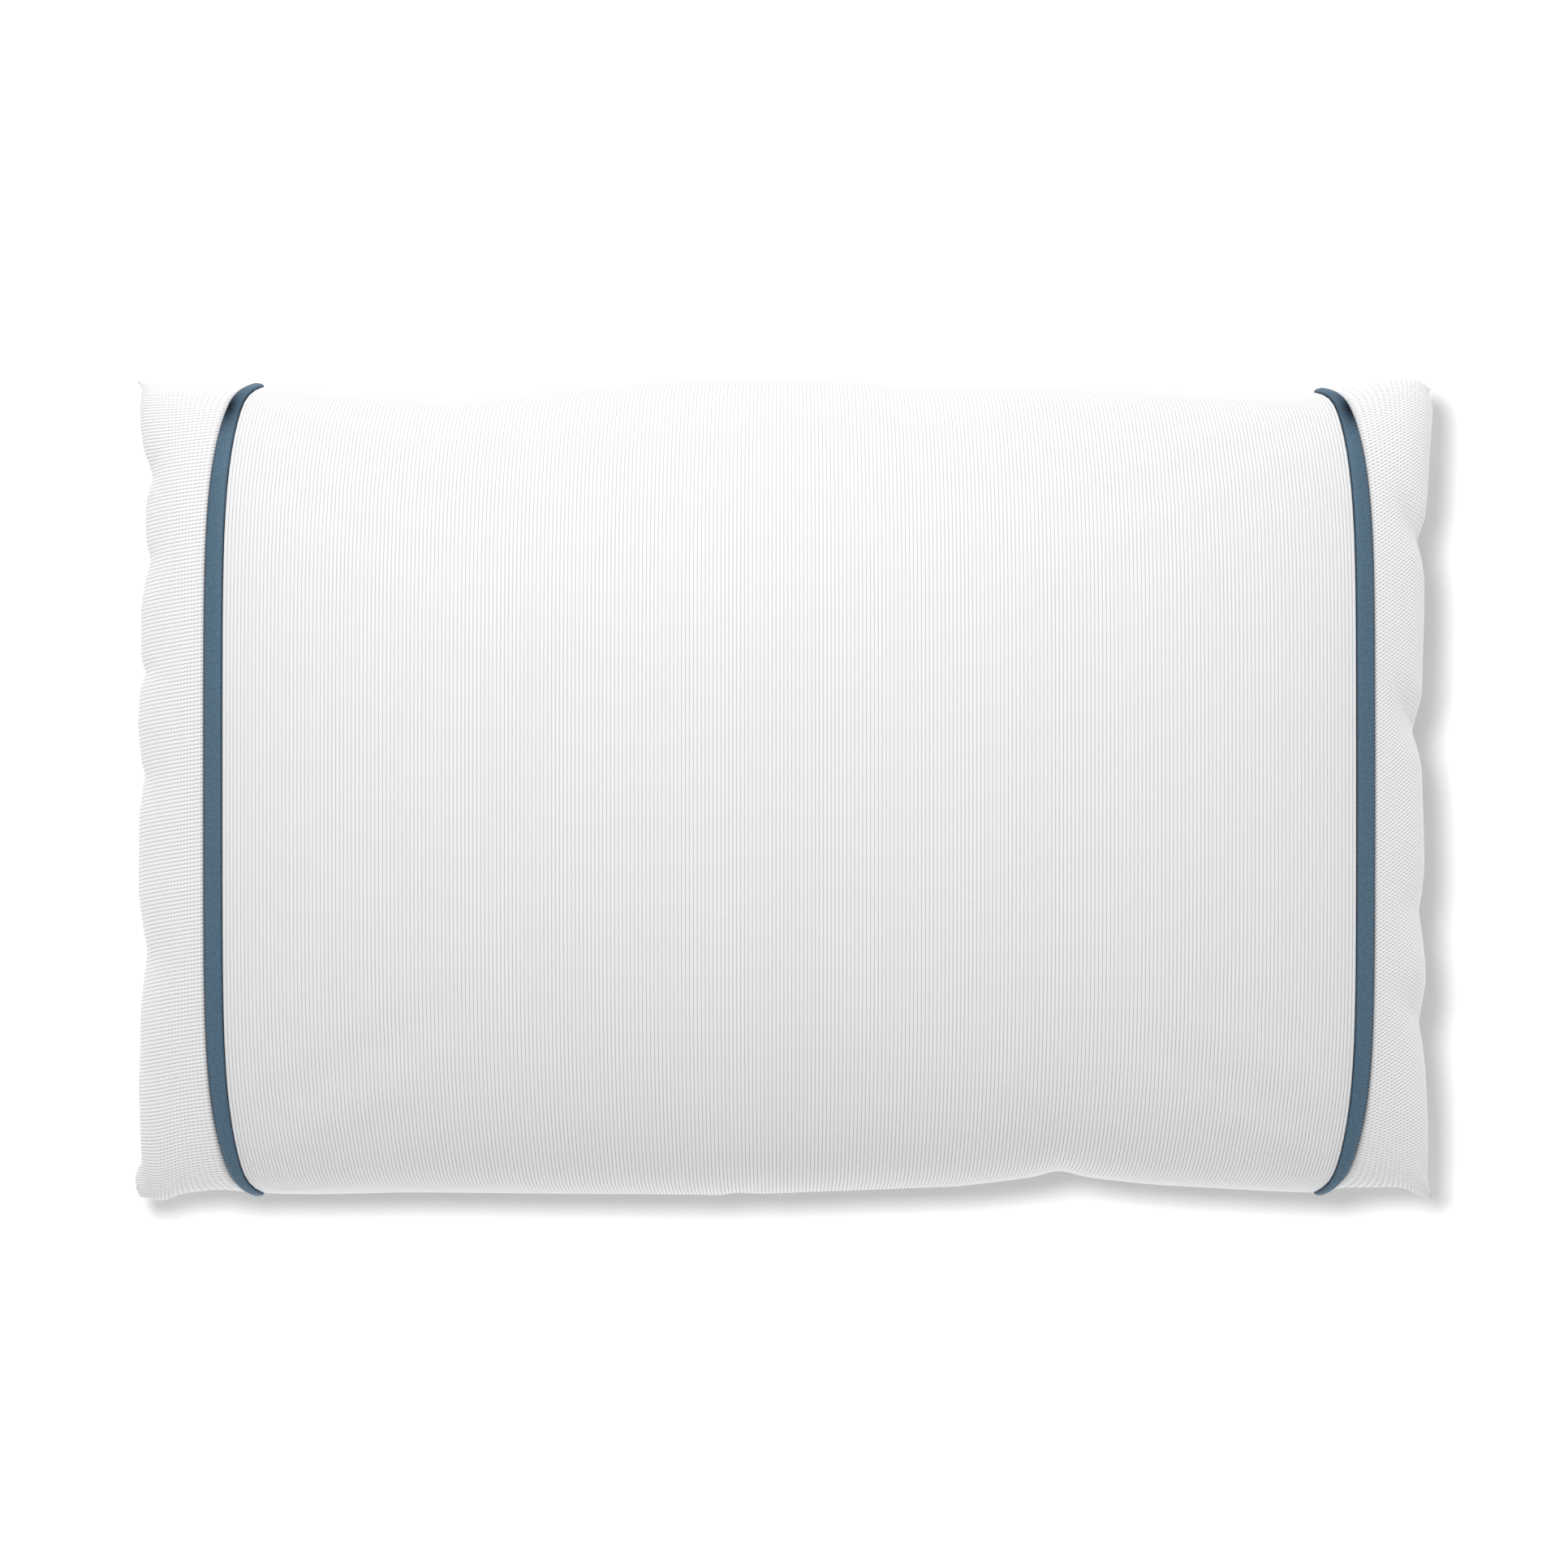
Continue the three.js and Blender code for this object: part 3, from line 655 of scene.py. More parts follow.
def woven_material(name, tint, dark, pitch, rough):
    """Plain weave."""
    n = Nodes(name)
    x, y, z = n.split(n.place())
    across = n.wave(n.math("ADD", x, z), pitch)
    along = n.wave(y, pitch)
    weave = n.math("ABSOLUTE", n.math("SUBTRACT", across, along))
    yarn = n.noise(pitch / 2)
    patch = n.noise(35 * MM)
    n.bump(n.total(0.0, (weave, 1.0), (yarn, 0.4)), pitch * 0.12)
    shade = n.total(0.35, (yarn, 0.25), (weave, -0.35), (patch, 0.15))
    return n.finish(n.mix(shade, tint, dark), n.total(rough, (yarn, 0.25)), Sheen_Weight=0.1)


def fibre_material():
    """Matted polyester fibre."""
    n = Nodes("fibre")
    strands = n.noise(1.2 * MM, 5.0, None, 0.7)
    tufts = n.noise(22 * MM, 3.0)
    n.bump(n.total(0.0, (tufts, 2.0), (strands, 1.0)), 1.2 * MM)
    shade = n.total(0.4, (tufts, 0.5), (strands, 0.5))
    rough = n.total(0.93, (strands, 0.1))
    return n.finish(n.mix(shade, (0.9, 0.9, 0.9), (0.7, 0.7, 0.71)), rough)


def foam_material():
    """Fine open-cell foam."""
    n = Nodes("foam")
    cells = n.noise(0.8 * MM, 4.0, None, 0.7)
    n.bump(cells, 0.3 * MM)
    shade = n.total(0.5, (cells, 1.2))
    rough = n.total(0.93, (cells, 0.2))
    return n.finish(n.mix(shade, (0.78, 0.79, 0.8), (0.56, 0.57, 0.6)), rough)


def thread_material():
    """Twisted sewing thread."""
    n = Nodes("thread")
    x, y, z = n.split(n.place())
    twist = n.wave(n.total(0.0, (x, 1.0), (y, 1.0), (z, 2.0)), 0.5 * MM)
    fuzz = n.noise(0.3 * MM)
    n.bump(twist, 0.05 * MM)
    shade = n.total(0.2, (twist, 0.5), (fuzz, 0.4))
    rough = n.total(0.6, (fuzz, 0.3))
    return n.finish(n.mix(shade, (0.86, 0.86, 0.87), (0.64, 0.64, 0.66)), rough, Sheen_Weight=0.1)


def nylon_material():
    """Slightly glossy white nylon, a little scuffed."""
    n = Nodes("nylon")
    scuff = n.noise(0.6 * MM, 3.0)
    n.bump(scuff, 0.02 * MM)
    shade = n.total(0.4, (scuff, 1.0))
    rough = n.total(0.34, (scuff, 0.4))
    return n.finish(n.mix(shade, (0.84, 0.84, 0.85), (0.7, 0.7, 0.72)), rough)


def nickel_material():
    """Tumbled nickel plate with fine scratches and dull worn places."""
    n = Nodes("nickel")
    scratch = n.noise(0.35 * MM, 4.0, None, 0.7)
    worn = n.noise(2.5 * MM, 3.0)
    n.bump(scratch, 0.012 * MM)
    shade = n.total(0.4, (worn, 1.2))
    rough = n.total(0.3, (worn, 0.4), (scratch, 0.2))
    return n.finish(n.mix(shade, (0.62, 0.63, 0.65), (0.4, 0.4, 0.41)), rough, Metallic=1.0)


RIB_KNIT = rib_knit_material()
MESH_KNIT = mesh_knit_material()
BAND_CLOTH = band_material()
TICKING = woven_material("liner_ticking", (0.86, 0.855, 0.83), (0.6, 0.595, 0.57), 0.9 * MM, 0.85)
TAPE_WEAVE = woven_material("tape_weave", (0.84, 0.84, 0.85), (0.55, 0.55, 0.57), 0.8 * MM, 0.8)
LABEL_SATIN = woven_material("label_satin", (0.88, 0.88, 0.88), (0.7, 0.7, 0.71), 0.5 * MM, 0.45)
FIBRE = fibre_material()
FOAM = foam_material()
THREAD = thread_material()
NYLON = nylon_material()
NICKEL = nickel_material()

# ---- Cloth simulation ----
CREASE_CAP = 6 * MM
SIM_FRAMES = 20
# The cloth is held still this near to the end seams, the floor and the bands' middles.
HELD_AT_SEAM = 7 * MM
HELD_ABOVE_FLOOR = 1.5 * MM
HELD_AT_BAND = 6 * MM
# It has all its cloth to spare this far past the bands, and a share of it along the long edges.
SPARE_RISE = 20 * MM
LONG_EDGE_SPARE = 0.35
LONG_EDGE_SPREAD = 0.35
BROAD_ROUNDS = 9


def simulate_cover():
    """Blows the cover up gently with a little cloth to spare near its ends, so that it settles into soft
    creases, and returns those creases as moves of the coarse grid."""
    s, phi = np.meshgrid(COARSE_S, COARSE_PHI, indexing="ij")
    rest = face_point(s, phi)
    rows, columns = s.shape
    facing_out = [0, 3, 2, 1]
    bag = mesh_object("bag", rest, quads(rows, columns, rows - 1, columns)[:, facing_out])
    left = s < 0
    held = np.clip(1 - (np.where(left, LEFT.end, RIGHT.end) - np.abs(s)) / HELD_AT_SEAM, 0, 1)
    held = np.maximum(held, rest[..., 2] < HELD_ABOVE_FLOOR)
    held = np.maximum(held, np.abs(np.abs(s) - np.where(left, LEFT.band, RIGHT.band)) < HELD_AT_BAND)
    spare = smooth((np.abs(s) - np.where(left, LEFT.first, RIGHT.first)) / SPARE_RISE)
    spare = np.maximum(spare, LONG_EDGE_SPARE * np.exp(-((loop_z(phi) / LONG_EDGE_SPREAD) ** 2)))
    for name, weights in (("held", held), ("spare", spare)):
        group = bag.vertex_groups.new(name=name)
        for index, weight in enumerate(weights.ravel().tolist()):
            group.add([index], weight, "REPLACE")
    cloth = bag.modifiers.new("cloth", "CLOTH")
    settings = cloth.settings
    settings.quality = 6
    settings.mass = 0.25
    settings.tension_stiffness = 18
    settings.compression_stiffness = 18
    settings.shear_stiffness = 6
    settings.bending_stiffness = 0.35
    settings.air_damping = 2
    settings.vertex_group_mass = "held"
    settings.vertex_group_shrink = "spare"
    settings.shrink_min = 0
    settings.shrink_max = -0.09
    settings.use_pressure = True
    settings.uniform_pressure_force = 4
    settings.effector_weights.gravity = 0
    scene = bpy.context.scene
    scene.frame_start, scene.frame_end = 1, SIM_FRAMES
    cloth.point_cache.frame_start, cloth.point_cache.frame_end = 1, SIM_FRAMES
    for number in range(1, SIM_FRAMES + 1):
        scene.frame_set(number)
    evaluated = bag.evaluated_get(bpy.context.evaluated_depsgraph_get())
    points = np.empty(rows * columns * 3)
    evaluated.data.vertices.foreach_get("co", points)
    moved = points.reshape(rows, columns, 3) - rest
    scene.frame_set(1)
    bpy.data.meshes.remove(bag.data)
    return short_waves(moved) * (1 - held[..., None])


def short_waves(moved):
    """A move without the swelling of the whole, and no larger than CREASE_CAP."""
    broad = moved.copy()
    for _ in range(BROAD_ROUNDS):
        broad = (broad + np.roll(broad, 1, 1) + np.roll(broad, -1, 1)) / 3
        broad[1:-1] = (broad[1:-1] + broad[2:] + broad[:-2]) / 3
    waves = moved - broad
    size = np.linalg.norm(waves, axis=-1, keepdims=True)
    return waves / np.sqrt(1 + (size / CREASE_CAP) ** 2)


creases[:] = simulate_cover()


# ---- Cover ----
SLEEVE_WIDTH = LEFT.last_rib + RIGHT.last_rib
# A rib's outline from one groove towards the next, as shares of its pitch and of its depth.
RIB_MARKS = (0, 0.15, 0.5, 0.85)
RIB_LIFTS = (-1, -0.12, 0, -0.12)
# The same for a row of the mesh knit.
ROW_MARKS = (0, 0.3, 0.7)
ROW_LIFTS = (-1, 0, 0)
# How far round a mesh row moves for each unit that it runs out to the seam.
LEFT_SHEAR = 0.14
RIGHT_SHEAR = -0.62
# The cloth past each end's lip: the seam's allowance, and the hem beside the zip.
# How high the hem is folded up behind its lip, and how far inside the lip it is sewn.
HEM_TOP = ZIP_LIP + 6.5 * MM
HEM_ROW = 4.5 * MM
# The mesh's thickness in the corners, as a share. It is full from CORNER_THIN_END inside the seam.
CORNER_THIN = 0.07
CORNER_THIN_END = 45 * MM
CORNER_THIN_LENGTH = 28 * MM


def loop_phi(count):
    return np.linspace(0, FULL_TURN, count, endpoint=False)


def closed_lengths(phi):
    """The loop's length at each angle and, to close it, the whole length."""
    return np.append(np.interp(phi, LOOP_ANGLES, LOOP_LENGTHS), LOOP)


def centre_panel():
    """The ribbed sleeve: its outer face follows every rib, and its inner face is plain."""
    ribs = round(SLEEVE_WIDTH / RIB_PITCH)
    pitch = SLEEVE_WIDTH / ribs
    marks = (np.arange(ribs)[:, None] + RIB_MARKS).ravel()
    places = np.append(marks * pitch - LEFT.last_rib, RIGHT.last_rib)
    heights = np.append(np.tile(RIB_LIFTS, ribs), -1) * RIB_DEPTH
    phi = loop_phi(80)
    outer = surface(places[:, None], phi[None, :], heights[:, None])
    inner_places = np.linspace(RIGHT.last_rib, -LEFT.last_rib, 41)
    inner = surface(inner_places[:, None], phi[None, :], -CLOTH)
    u = (np.concatenate([places, inner_places]) + LEFT.last_rib) * RIB_PITCH / pitch
    made = ring_sweep("centre_sleeve", np.concatenate([outer, inner]), cloth_uv(u, closed_lengths(phi)))
    return finish_piece(made, RIB_KNIT, "ribbed_knit", "centre_panel")


def lip_ring(side, phi, x, rise, corner_in, edge_in):
    """A ring of the cloth turned in at an end seam. corner_in and edge_in are how far it stays inside the
    corners and the long edges, in millimetres."""
    across = loop_y(phi)
    y = (HALF_WIDTH - edge_in * MM) * across
    out = x + (CORNER_REACH - corner_in * MM - x) * np.abs(across) ** HEM_POWER
    if side < 0:
        up = rise * loop_z(phi)
    else:
        up = np.sign(np.round(np.sin(phi), 6)) * (mouth(y) + (rise - ZIP_LIP) * mouth(y) / ZIP_LIP)
    return warp(np.stack([side * out, y, SEAM_Z + up], -1))


def sewn_lips(phi):
    """The allowance behind the sewn seam: out to its raw edge and back."""
    lip_x = float(profile_reach(SEAM_LIP))
    back = SEAM_LIP + CLOTH
    steps = (
        (ALLOWANCE_X + 3 * MM, SEAM_LIP, 5, 3.6),
        (ALLOWANCE_X, SEAM_LIP, 10, 3.8),
        (ALLOWANCE_X, back, 10, 2.4),
        (lip_x - MM, back, 5, 2.1),
    )
    return np.stack([lip_ring(-1, phi, *step) for step in steps])


def zip_lips(phi):
    """The hem beside the zip: folded back behind the lip and up behind the tape's face."""
    steps = (
        (HEM_FRONT + 2 * MM, ZIP_LIP + 0.1 * MM, 5, 3.6),
        (HEM_FRONT, ZIP_LIP + 0.6 * MM, 10, 3.8),
        (HEM_FRONT, HEM_TOP, 10, 2.9),
        (HEM_FRONT + 1.6 * MM, HEM_TOP, 7, 2.4),
        (HEM_FRONT + 2.4 * MM, ZIP_LIP + 2.4 * MM, 5, 2.1),
    )
    return np.stack([lip_ring(1, phi, *step) for step in steps])


def end_panel(name, side, lips, shear, node):
    """A mesh knit sleeve. Its rows are fine ridges that run out to the seam, and move round by shear as they
    go."""
    rows = round(LOOP / MESH_PITCH)
    lengths = ((np.arange(rows)[:, None] + ROW_MARKS) / rows).ravel() * LOOP
    ridges = np.tile(ROW_LIFTS, rows) * MESH_DEPTH
    profile = LEFT if side < 0 else RIGHT
    first, end = profile.first, profile.end
    places = np.linspace(first, end, 36)
    inner_places = np.linspace(end - 3 * MM, first, 25)
    raised = smooth((end - places) / (6 * MM)) * smooth((places - first) / (2 * MM))

    def turned(place):
        return phi_at(lengths[None, :] + shear * (place - first)[:, None])

    outer = surface(side * places[:, None], turned(places), ridges[None, :] * raised[:, None])
    folded = lips(turned(places)[-1])
    near_corner = np.abs(loop_y(turned(inner_places))) ** HEM_POWER
    near_corner *= smooth((CORNER_THIN_END - (end - inner_places)) / CORNER_THIN_LENGTH)[:, None]
    thickness = CLOTH * (1 - (1 - CORNER_THIN) * near_corner)
    inner = surface(side * inner_places[:, None], turned(inner_places), -thickness)
    u = np.concatenate([places, end + 4 * MM * (1 + np.arange(len(folded))), inner_places]) - first
    v = np.append(lengths, LOOP) * rows * MESH_PITCH / LOOP
    made = ring_sweep(name, np.concatenate([outer, folded, inner]), cloth_uv(u, v))
    return finish_piece(made, MESH_KNIT, "mesh_knit", node)


# A band's section as (across, lift) in millimetres: over its crown, down its sides, and back inside.
BAND_FACE = ((0.5, -1.6), (5.5, -1.6), (5.5, 0.3), (5.3, 0.95), (4.7, 1.5), (3.4, 1.95), (1.7, 2.2),
             (0, 2.3))
BAND_INSIDE = ((0.5, -0.9), (4.6, -0.9), (4.6, 0.4), (3, 1.2), (0, 1.5))
STRIP_SECTION = ((4, -0.4), (3.8, 0), (2, 0.55), (0, 0.8))


def mirrored(half):
    """Both halves of a section from the half with positive places, as one run from side to side."""
    other = [(-across, lift) for across, lift in half if across > 0]
    return list(half) + other[::-1]


def wrapped_strip(name, side, section, steps, material, slot, node):
    """A strip with the given section round the pillow on a band's line."""
    section = np.array(section) * MM
    phi = loop_phi(steps)
    middle = (LEFT if side < 0 else RIGHT).band
    rings = surface(side * (middle + section[:, :1]), phi[None, :], section[:, 1:])
    made = ring_sweep(name, rings, cloth_uv(section[:, 0], closed_lengths(phi)))
    return finish_piece(made, material, slot, node)


def band(name, side, node):
    """A raised band: a strip bent round a filler, open along a slit underneath."""
    section = mirrored(BAND_FACE) + mirrored(BAND_INSIDE)[::-1]
    return wrapped_strip(name, side, section, 440, BAND_CLOTH, "band_cloth", node)


def band_strip(name, side, node):
    """The soft strip inside a band."""
    return wrapped_strip(name, side, mirrored(STRIP_SECTION), 220, FOAM, "foam_strip", node)


def cover():
    centre = centre_panel()
    left = end_panel("left_mesh_end", -1, sewn_lips, LEFT_SHEAR, "left_end_panel")
    right = end_panel("right_mesh_end", 1, zip_lips, RIGHT_SHEAR, "right_end_panel")
    for side, end, node in ((-1, "left", "left_band"), (1, "right", "right_band")):
        made = band(end + "_blue_band", side, node)
        strip = band_strip(end + "_band_strip", side, node + "_filler")


# ---- The sewn end's binding and label ----
BINDING_WALL = 0.6 * MM
BINDING_FLATTENED = 0.985
BINDING_STITCH = 3.3 * MM
BINDING_ROW_IN = 1.3 * MM
LABEL_PLY = 0.22 * MM
LABEL_CURL = 0.9 * MM


def folded_strip(half, wall, length, straights, steps):
    """The section of a strip folded double, as (along, across): open at 0, and round at length in so many
    steps. straights holds the places of the points on its flat sides."""
    turn = np.linspace(math.pi / 2, -math.pi / 2, steps)

    def face(radius):
        over = [(place, radius) for place in straights]
        bend = [(length - half + radius * math.cos(t), radius * math.sin(t)) for t in turn]
        return over + bend + [(place, -radius) for place in reversed(straights)]

    return np.array(face(half) + face(half - wall)[::-1]).T


def ripples(places, *waves):
    """A slight unevenness along a tape, from (size, length) waves in millimetres."""
    return sum(size * MM * np.sin(places / (length * MM)) for size, length in waves)[:, None]


def binding():
    """A tape folded round the two allowances, with a row of stitches on each side."""
    half = (BINDING_HIGH.z - BINDING_LOW.z) / 2
    width = BINDING_HIGH.x - BINDING_LOW.x
    places = np.linspace(BINDING_LOW.y, BINDING_HIGH.y, 186)
    along, across = folded_strip(half, BINDING_WALL, width, (0,), 9)
    ripple = ripples(places, (0.12, 9), (0.07, 4.1))
    x = BINDING_LOW.x + along + 0.5 * ripple
    rings = straight_rings(places, x, SEAM_Z + across * BINDING_FLATTENED + 0.3 * ripple)
    made = finish_piece(capped_sweep("left_seam_tape", rings), TAPE_WEAVE, "thread", "left_seam_binding")
    row = np.arange(BINDING_LOW.y + 3 * MM, BINDING_HIGH.y - 3 * MM, BINDING_STITCH)
    row_x = BINDING_LOW.x + BINDING_ROW_IN
    spots = [(row_x, y, SEAM_Z + side * half * BINDING_FLATTENED) for side in (1, -1) for y in row]
    ways = [(0, 1, 0)] * len(spots)
    leans = [(0, 0, side) for side in (1, -1) for _ in row]
    sewn = stitches("seam_tape_stitches", *map(np.array, (spots, ways, leans)), 2.6 * MM, 0.16 * MM)
    finish_piece(sewn, THREAD, "thread")


def care_label():
    """A blank satin label, folded double with its loop upwards."""
    tall = LABEL_HIGH.z - LABEL_LOW.z
    up, across = folded_strip((LABEL_HIGH.x - LABEL_LOW.x) / 2, LABEL_PLY, tall, (0, tall / 2), 7)
    places = np.linspace(LABEL_LOW.y, LABEL_HIGH.y, 30)
    middle_x = (LABEL_LOW.x + LABEL_HIGH.x) / 2
    curl = LABEL_CURL * (up / tall) ** 2 * (1 + 0.5 * np.sin(places / (7 * MM)))[:, None]
    rings = straight_rings(places, middle_x - across + curl, LABEL_LOW.z + up)
    made = finish_piece(capped_sweep("blank_label", rings), LABEL_SATIN, "label", "care_label")


# ---- Zip ----
def zip_tape(name, node, side):
    """A woven tape with a thicker, rounded inner edge and a slight ripple."""
    low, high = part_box(node)
    across = np.linspace(0, 1, 14)
    bulge = (high.x - low.x) / 2 * np.where(across < 0.12, 1, 0.72)
    z_in = low.z if side > 0 else high.z
    far = np.concatenate([across, across[::-1]])
    places = np.linspace(low.y, high.y, 260)
    ripple = ripples(places, (0.08, 6), (0.05, 2.7)) * far
    x = (low.x + high.x) / 2 + np.concatenate([bulge, -bulge[::-1]]) + ripple
    rings = straight_rings(places, x, z_in + side * far * (high.z - low.z))
    made = finish_piece(capped_sweep(name, rings), TAPE_WEAVE, "tape", node)


def zip_coil(name, node, side):
    """A coil of nylon wound round a cord, with its loops towards the other coil."""
    low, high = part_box(node)
    wire = 0.36 * MM
    reach = 0.3 * MM
    inner, outer = (low.z - reach, high.z) if side > 0 else (high.z + reach, low.z)
    middle = ((low.x + high.x) / 2, (inner + outer) / 2)
    half_x = (high.x - low.x) / 2 - wire
    half_z = abs(outer - inner) / 2 - wire
    pitch = 2 * MM
    turns = int((high.y - low.y - 2 * wire) / pitch)
    t = np.linspace(0, turns, turns * 14 + 1)
    angle = FULL_TURN * t
    shift = 0 if side > 0 else pitch / 2
    y = low.y + wire + shift + t * (high.y - low.y - 2 * wire - shift) / turns
    path = np.stack([middle[0] + half_x * np.sin(angle), y, middle[1] + half_z * np.cos(angle)], -1)
    coil = capped_sweep(name, tube_rings(path, wire))
    cord_y = np.linspace(low.y + 0.2 * MM, high.y - 0.2 * MM, 60)
    cord_path = np.stack([np.full(60, middle[0]), cord_y, np.full(60, middle[1] + side * 0.35 * MM)], -1)
    cord = capped_sweep(name + "_cord", tube_rings(cord_path, 0.34 * MM, 8))
    finish_piece(joined(name, [coil, cord]), NYLON, "nylon", node)


def crimp(name, node):
    """A small metal stop crimped round the tape's edge: a rounded block with a dent across its middle."""
    low, high = (np.array(corner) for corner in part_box(node))
    middle, half = (low + high) / 2, (high - low) / 2
    t = np.linspace(-math.pi / 2, math.pi / 2, 13)
    turn = np.linspace(0, FULL_TURN, 28, endpoint=False)
    rings = np.empty((len(t), len(turn), 3))
    for i, angle in enumerate(t):
        size = abs(math.cos(angle)) ** 0.35
        y = signed_power(math.sin(angle), 0.6)
        dent = 1 - 0.16 * math.exp(-((y / 0.3) ** 2))
        rings[i, :, 0] = middle[0] + half[0] * size * dent * signed_power(np.cos(turn), 0.5)
        rings[i, :, 1] = middle[1] + half[1] * y
        rings[i, :, 2] = middle[2] + half[2] * size * signed_power(np.sin(turn), 0.5)
    finish_piece(capped_sweep(name, rings[1:-1]), NICKEL, "nickel", node)


def softened_metal(name, node, width):
    """A metal part as the CAD model has it, with its sharp edges rounded over."""
    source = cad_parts[node]
    made = bpy.data.objects.new(name, source.data.copy())
    bpy.context.scene.collection.objects.link(made)
    made.matrix_world = source.matrix_world.copy()
    work = bmesh.new()
    work.from_mesh(made.data)
    bmesh.ops.remove_doubles(work, verts=work.verts, dist=0.001 * MM)
    bmesh.ops.dissolve_limit(work, angle_limit=math.radians(2), verts=work.verts, edges=work.edges)
    work.to_mesh(made.data)
    work.free()
    bevel = made.modifiers.new("bevel", "BEVEL")
    bevel.width = width
    bevel.segments = 2
    bevel.limit_method = "ANGLE"
    bevel.angle_limit = math.radians(25)
    evaluated = made.evaluated_get(bpy.context.evaluated_depsgraph_get())
    made.data = bpy.data.meshes.new_from_object(evaluated)
    made.modifiers.clear()
    return made


def zip_parts():
    for end, side in (("upper", 1), ("lower", -1)):
        zip_tape(end + "_zip_tape", "zip_tape_" + end, side)
        zip_coil(end + "_zip_coil", "zip_coil_" + end, side)
        crimp(end + "_top_stop", "zip_top_stop_" + end)
    crimp("bottom_stop", "zip_bottom_stop")
    for name, node, rounding in (("slider", "zip_slider", 0.22 * MM), ("pull_tab", "zip_pull", 0.2 * MM)):
        finish_piece(softened_metal(name, node, rounding), NICKEL, "nickel", node, body=node)


def hem_stitches():
    """The rows that sew the hems to the zip tapes."""
    s = RIGHT.end - HEM_ROW
    phi = phi_at(np.arange(0, LOOP, 0.5 * MM))
    face = surface(s, phi, 0.0)
    steps = lengths_along(face)
    marks = np.interp(np.arange(0, steps[-1], 3.4 * MM), steps, phi)
    spots = surface(s, marks, 0.05 * MM)
    keep = np.abs(spots[:, 1]) < ZIP_MOUTH_END - 4 * MM
    spots, marks = spots[keep], marks[keep]
    row = np.full_like(marks, s)
    ways = unit(face_point(row, marks + 0.01) - face_point(row, marks - 0.01))
    leans = outward(face_point, FACE_STEP, row, marks)
    made = stitches("hem_stitches", spots, ways, leans, 2.5 * MM, 0.17 * MM)
    finish_piece(made, THREAD, "thread")


# ---- Inner pillow ----
LINER_SAG = 0.9 * MM
# The overlock's strip and thread lie between these distances inside the liner's edge.
OVERLOCK_NEAR = 0.5 * MM
OVERLOCK_STRIP_NEAR = 0.6 * MM
OVERLOCK_FAR = 3.9 * MM
OVERLOCK_HALF = 0.4 * MM
OVERLOCK_PITCH = 3 * MM
OVERLOCK_STEPS = 9
LUMPS = 1.1 * MM


def inner_point(x, phi, inset, split):
    """The inner pillow's surface, inset behind the liner's outer face and split apart at SEAM_Z."""
    x, phi = np.broadcast_arrays(x, phi)
    reach, depth = LINER_REACH - inset, LINER_INSET + inset
    rounding = np.maximum(np.abs(x) - LINER_ROUND, 0) / (reach - LINER_ROUND)
    rise = profile_height(np.minimum(np.abs(x), LINER_ROUND), depth)
    rise *= np.sqrt(np.maximum(1 - rounding**2, 0))
    corner = (LINER_CORNER - inset) / reach * x
    across = loop_y(phi)
    up = rise * loop_z(phi)
    side = np.where(phi < math.pi, 1, -1)
    z = SEAM_Z + np.where(side > 0, up, np.maximum(up * BELLY / CROWN, depth - SEAM_Z)) + side * split
    z = np.maximum(z, depth)
    point = np.stack([x + (corner - x) * draw_share(phi), (HALF_WIDTH - depth) * across, z], -1)
    return warp(point) + crease_at(np.sign(x) * LEFT.place(np.abs(x)), phi)


def inner_grid(side, inset, split, sag=0.0):
    """One half of the inner pillow's surface. sag is the depth of its shallow wrinkles."""
    turn = np.linspace(-0.5, 0.5, 131) * math.pi
    phi = np.linspace(0, math.pi, 91) if side > 0 else np.linspace(FULL_TURN, math.pi + 1e-6, 91)
    x = (LINER_REACH - inset) * np.sin(turn)
    grid = inner_point(x[:, None], phi[None, :], inset, split)
    steps = np.arange(len(phi)) / (len(phi) - 1)
    rim = np.minimum(np.minimum(steps, 1 - steps)[None, :] * 2, (0.5 - np.abs(turn / math.pi))[:, None] * 2)
    puckers = 0.5 + 0.5 * np.cos(grid[..., 0] / (2.3 * MM)) * np.cos(grid[..., 1] / (3.1 * MM))
    folds = 0.5 + 0.5 * np.sin(grid[..., 0] / (31 * MM) + 2 * np.sin(grid[..., 1] / (47 * MM)))
    depth = sag * (puckers * np.exp(-rim / 0.05) * smooth(rim / 0.02) + folds * smooth(rim / 0.3))
    grid[..., 2] -= side * depth
    return grid


def liner_panel(name, node, side):
    outer = inner_grid(side, 0, LINER_SPLIT, LINER_SAG)
    inner = inner_grid(side, LINER_CLOTH, LINER_SPLIT, LINER_SAG)
    made = finish_piece(slab(name, outer, inner), TICKING, "liner_ticking", node)


def rim_path(inset, count):
    """A closed path round the inner pillow's seam."""
    turn = np.linspace(-0.5, 0.5, 181) * math.pi
    x = (LINER_REACH - inset) * np.sin(turn)
    across = np.linspace(0, math.pi, 121)
    sides = [
        inner_point(x, np.zeros_like(x), inset, 0),
        inner_point(np.full_like(across, x[-1]), across, inset, 0),
        inner_point(x[::-1], np.full_like(x, math.pi - 1e-9), inset, 0),
        inner_point(np.full_like(across, x[0]), across[::-1], inset, 0),
    ]
    path = np.concatenate([side[:-1] for side in sides] + [sides[0][:1]])
    path[:, 2] = SEAM_Z
    steps = lengths_along(path)
    places = np.linspace(0, steps[-1], count, endpoint=False)
    return np.stack([np.interp(places, steps, path[:, axis]) for axis in range(3)], -1), float(steps[-1])


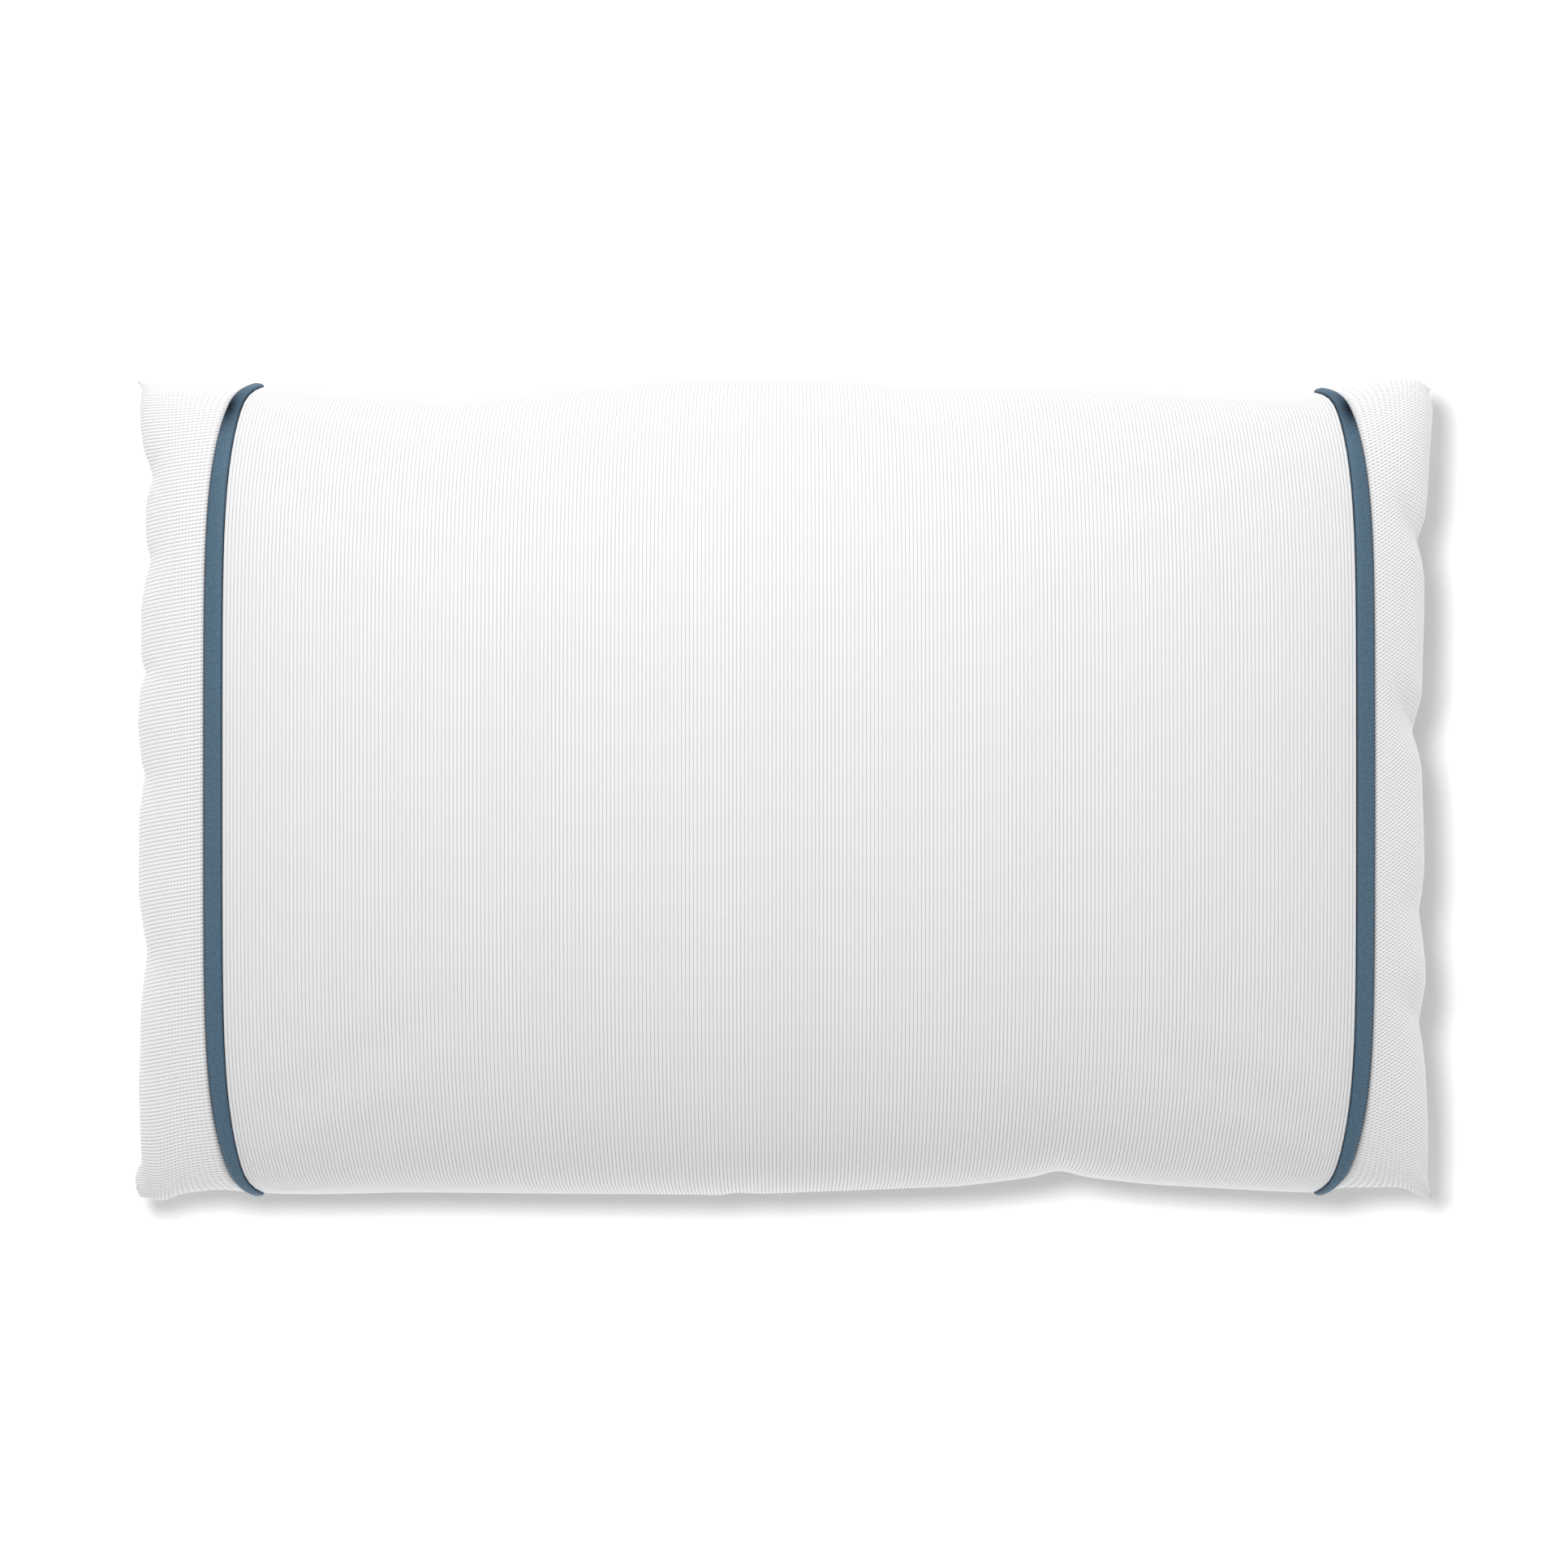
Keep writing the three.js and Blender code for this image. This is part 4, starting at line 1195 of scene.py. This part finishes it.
def overlock():
    """The seam between the liner's panels: a narrow strip with thread wound round and round its edge."""
    outer, length = rim_path(OVERLOCK_STRIP_NEAR, 700)
    inner, _ = rim_path(OVERLOCK_FAR, 700)
    up = np.array([0, 0, OVERLOCK_HALF])
    rings = np.stack([outer + up, inner + up, inner - up, outer - up])
    strip = ring_sweep("overlock_strip", rings, cloth_uv(np.arange(4) * MM, np.linspace(0, length, 701)))
    count = int(length / OVERLOCK_PITCH) * OVERLOCK_STEPS
    near, _ = rim_path(OVERLOCK_NEAR, count)
    far, _ = rim_path(OVERLOCK_FAR, count)
    angle = np.arange(count) / OVERLOCK_STEPS * FULL_TURN
    share = 0.5 - 0.5 * np.cos(angle)
    path = near * (1 - share)[:, None] + far * share[:, None]
    path[:, 2] += 0.66 * MM * np.sin(angle)
    thread = capped_sweep("overlock_thread", tube_rings(path, 0.17 * MM, 4))
    strip.data.uv_layers.remove(strip.data.uv_layers[0])
    made = joined("overlock", [strip, thread])
    finish_piece(made, THREAD, "thread", "liner_seam_overlock")


def fill():
    """The fibre fill, softly lumpy."""
    grids = []
    for side in (1, -1):
        grid = inner_grid(side, FILL_INSET, LINER_SPLIT)
        x, y, _ = np.moveaxis(grid, -1, 0)
        lumps = np.sin(x / (17 * MM) + 1.7 * np.sin(y / (23 * MM)))
        lumps *= np.sin(y / (14 * MM) + np.sin(x / (29 * MM)))
        lumps += 0.6 * np.sin(x / (7 * MM) + 2 * np.sin(y / (9 * MM)) + side)
        rim = np.abs(grid[..., 2] - SEAM_Z) / CROWN
        grid[..., 2] -= side * (1.6 + lumps) * LUMPS * smooth(rim / 0.3)
        grids.append(grid)
    made = finish_piece(slab("fibre_fill", *grids), FIBRE, "fibre", "fill_core")


cover()
binding()
care_label()
zip_parts()
hem_stitches()
liner_panel("upper_liner", "liner_upper", 1)
liner_panel("lower_liner", "liner_lower", -1)
overlock()
fill()

# ---- Camera, floor and light ----
VIEW_WIDTH = 0.8837
VIEW_CENTRE = (-0.0002, 0.0018)
LENS = 350
SENSOR = 36
AMBIENT = 0.78
# Each light as its place, size and power. The key lights the pillow from beyond its back edge, and the floor
# light lights the floor alone from nearly overhead, so that the pillow's shadow stays narrow.
KEY = ((-0.1, 0.85, 1.05), 0.5, 7.1)
FLOOR_LIGHT = ((-0.35, 0.42, 3.0), 0.9, 110)


def camera():
    data = bpy.data.cameras.new("camera")
    data.lens = LENS
    data.sensor_width = SENSOR
    data.clip_end = 50
    made = bpy.data.objects.new("camera", data)
    made.location = (*VIEW_CENTRE, SEAM_Z + VIEW_WIDTH * LENS / SENSOR)
    bpy.context.scene.collection.objects.link(made)
    bpy.context.scene.camera = made


def floor():
    n = Nodes("floor")
    speck = n.noise(0.4)
    white = n.mix(n.total(0.5, (speck, 0.5)), (0.79, 0.79, 0.79), (0.77, 0.77, 0.77))
    n.finish(white, 0.9, Specular_IOR_Level=0.0)
    size, below = 6.0, -0.2 * MM
    corners = [(-size, -size, below), (size, -size, below), (size, size, below), (-size, size, below)]
    made = mesh_object("floor", corners, [(0, 1, 2, 3)])
    made.data.materials.append(n.material)
    return made


def area_light(name, place, size, power, stage, state):
    """A round soft light aimed at the pillow. state is INCLUDE to light the stage alone, or EXCLUDE to light
    all but the stage."""
    data = bpy.data.lights.new(name, "AREA")
    data.shape = "DISK"
    data.size = size
    data.energy = power
    made = bpy.data.objects.new(name, data)
    made.location = place
    made.rotation_euler = (-Vector(place)).to_track_quat("-Z", "Y").to_euler()
    made.visible_camera = False
    bpy.context.scene.collection.objects.link(made)
    receivers = bpy.data.collections.new(name + " receivers")
    receivers.objects.link(stage)
    receivers.collection_objects[0].light_linking.link_state = state
    made.light_linking.receiver_collection = receivers


def studio():
    world = bpy.data.worlds.new("studio")
    bpy.context.scene.world = world
    world.use_nodes = True
    background = world.node_tree.nodes["Background"]
    background.inputs["Color"].default_value = (1, 1, 1, 1)
    background.inputs["Strength"].default_value = AMBIENT
    bpy.context.scene.view_settings.view_transform = "Standard"


camera()
stage = floor()
area_light("key", *KEY, stage, "EXCLUDE")
area_light("floor light", *FLOOR_LIGHT, stage, "INCLUDE")
studio()
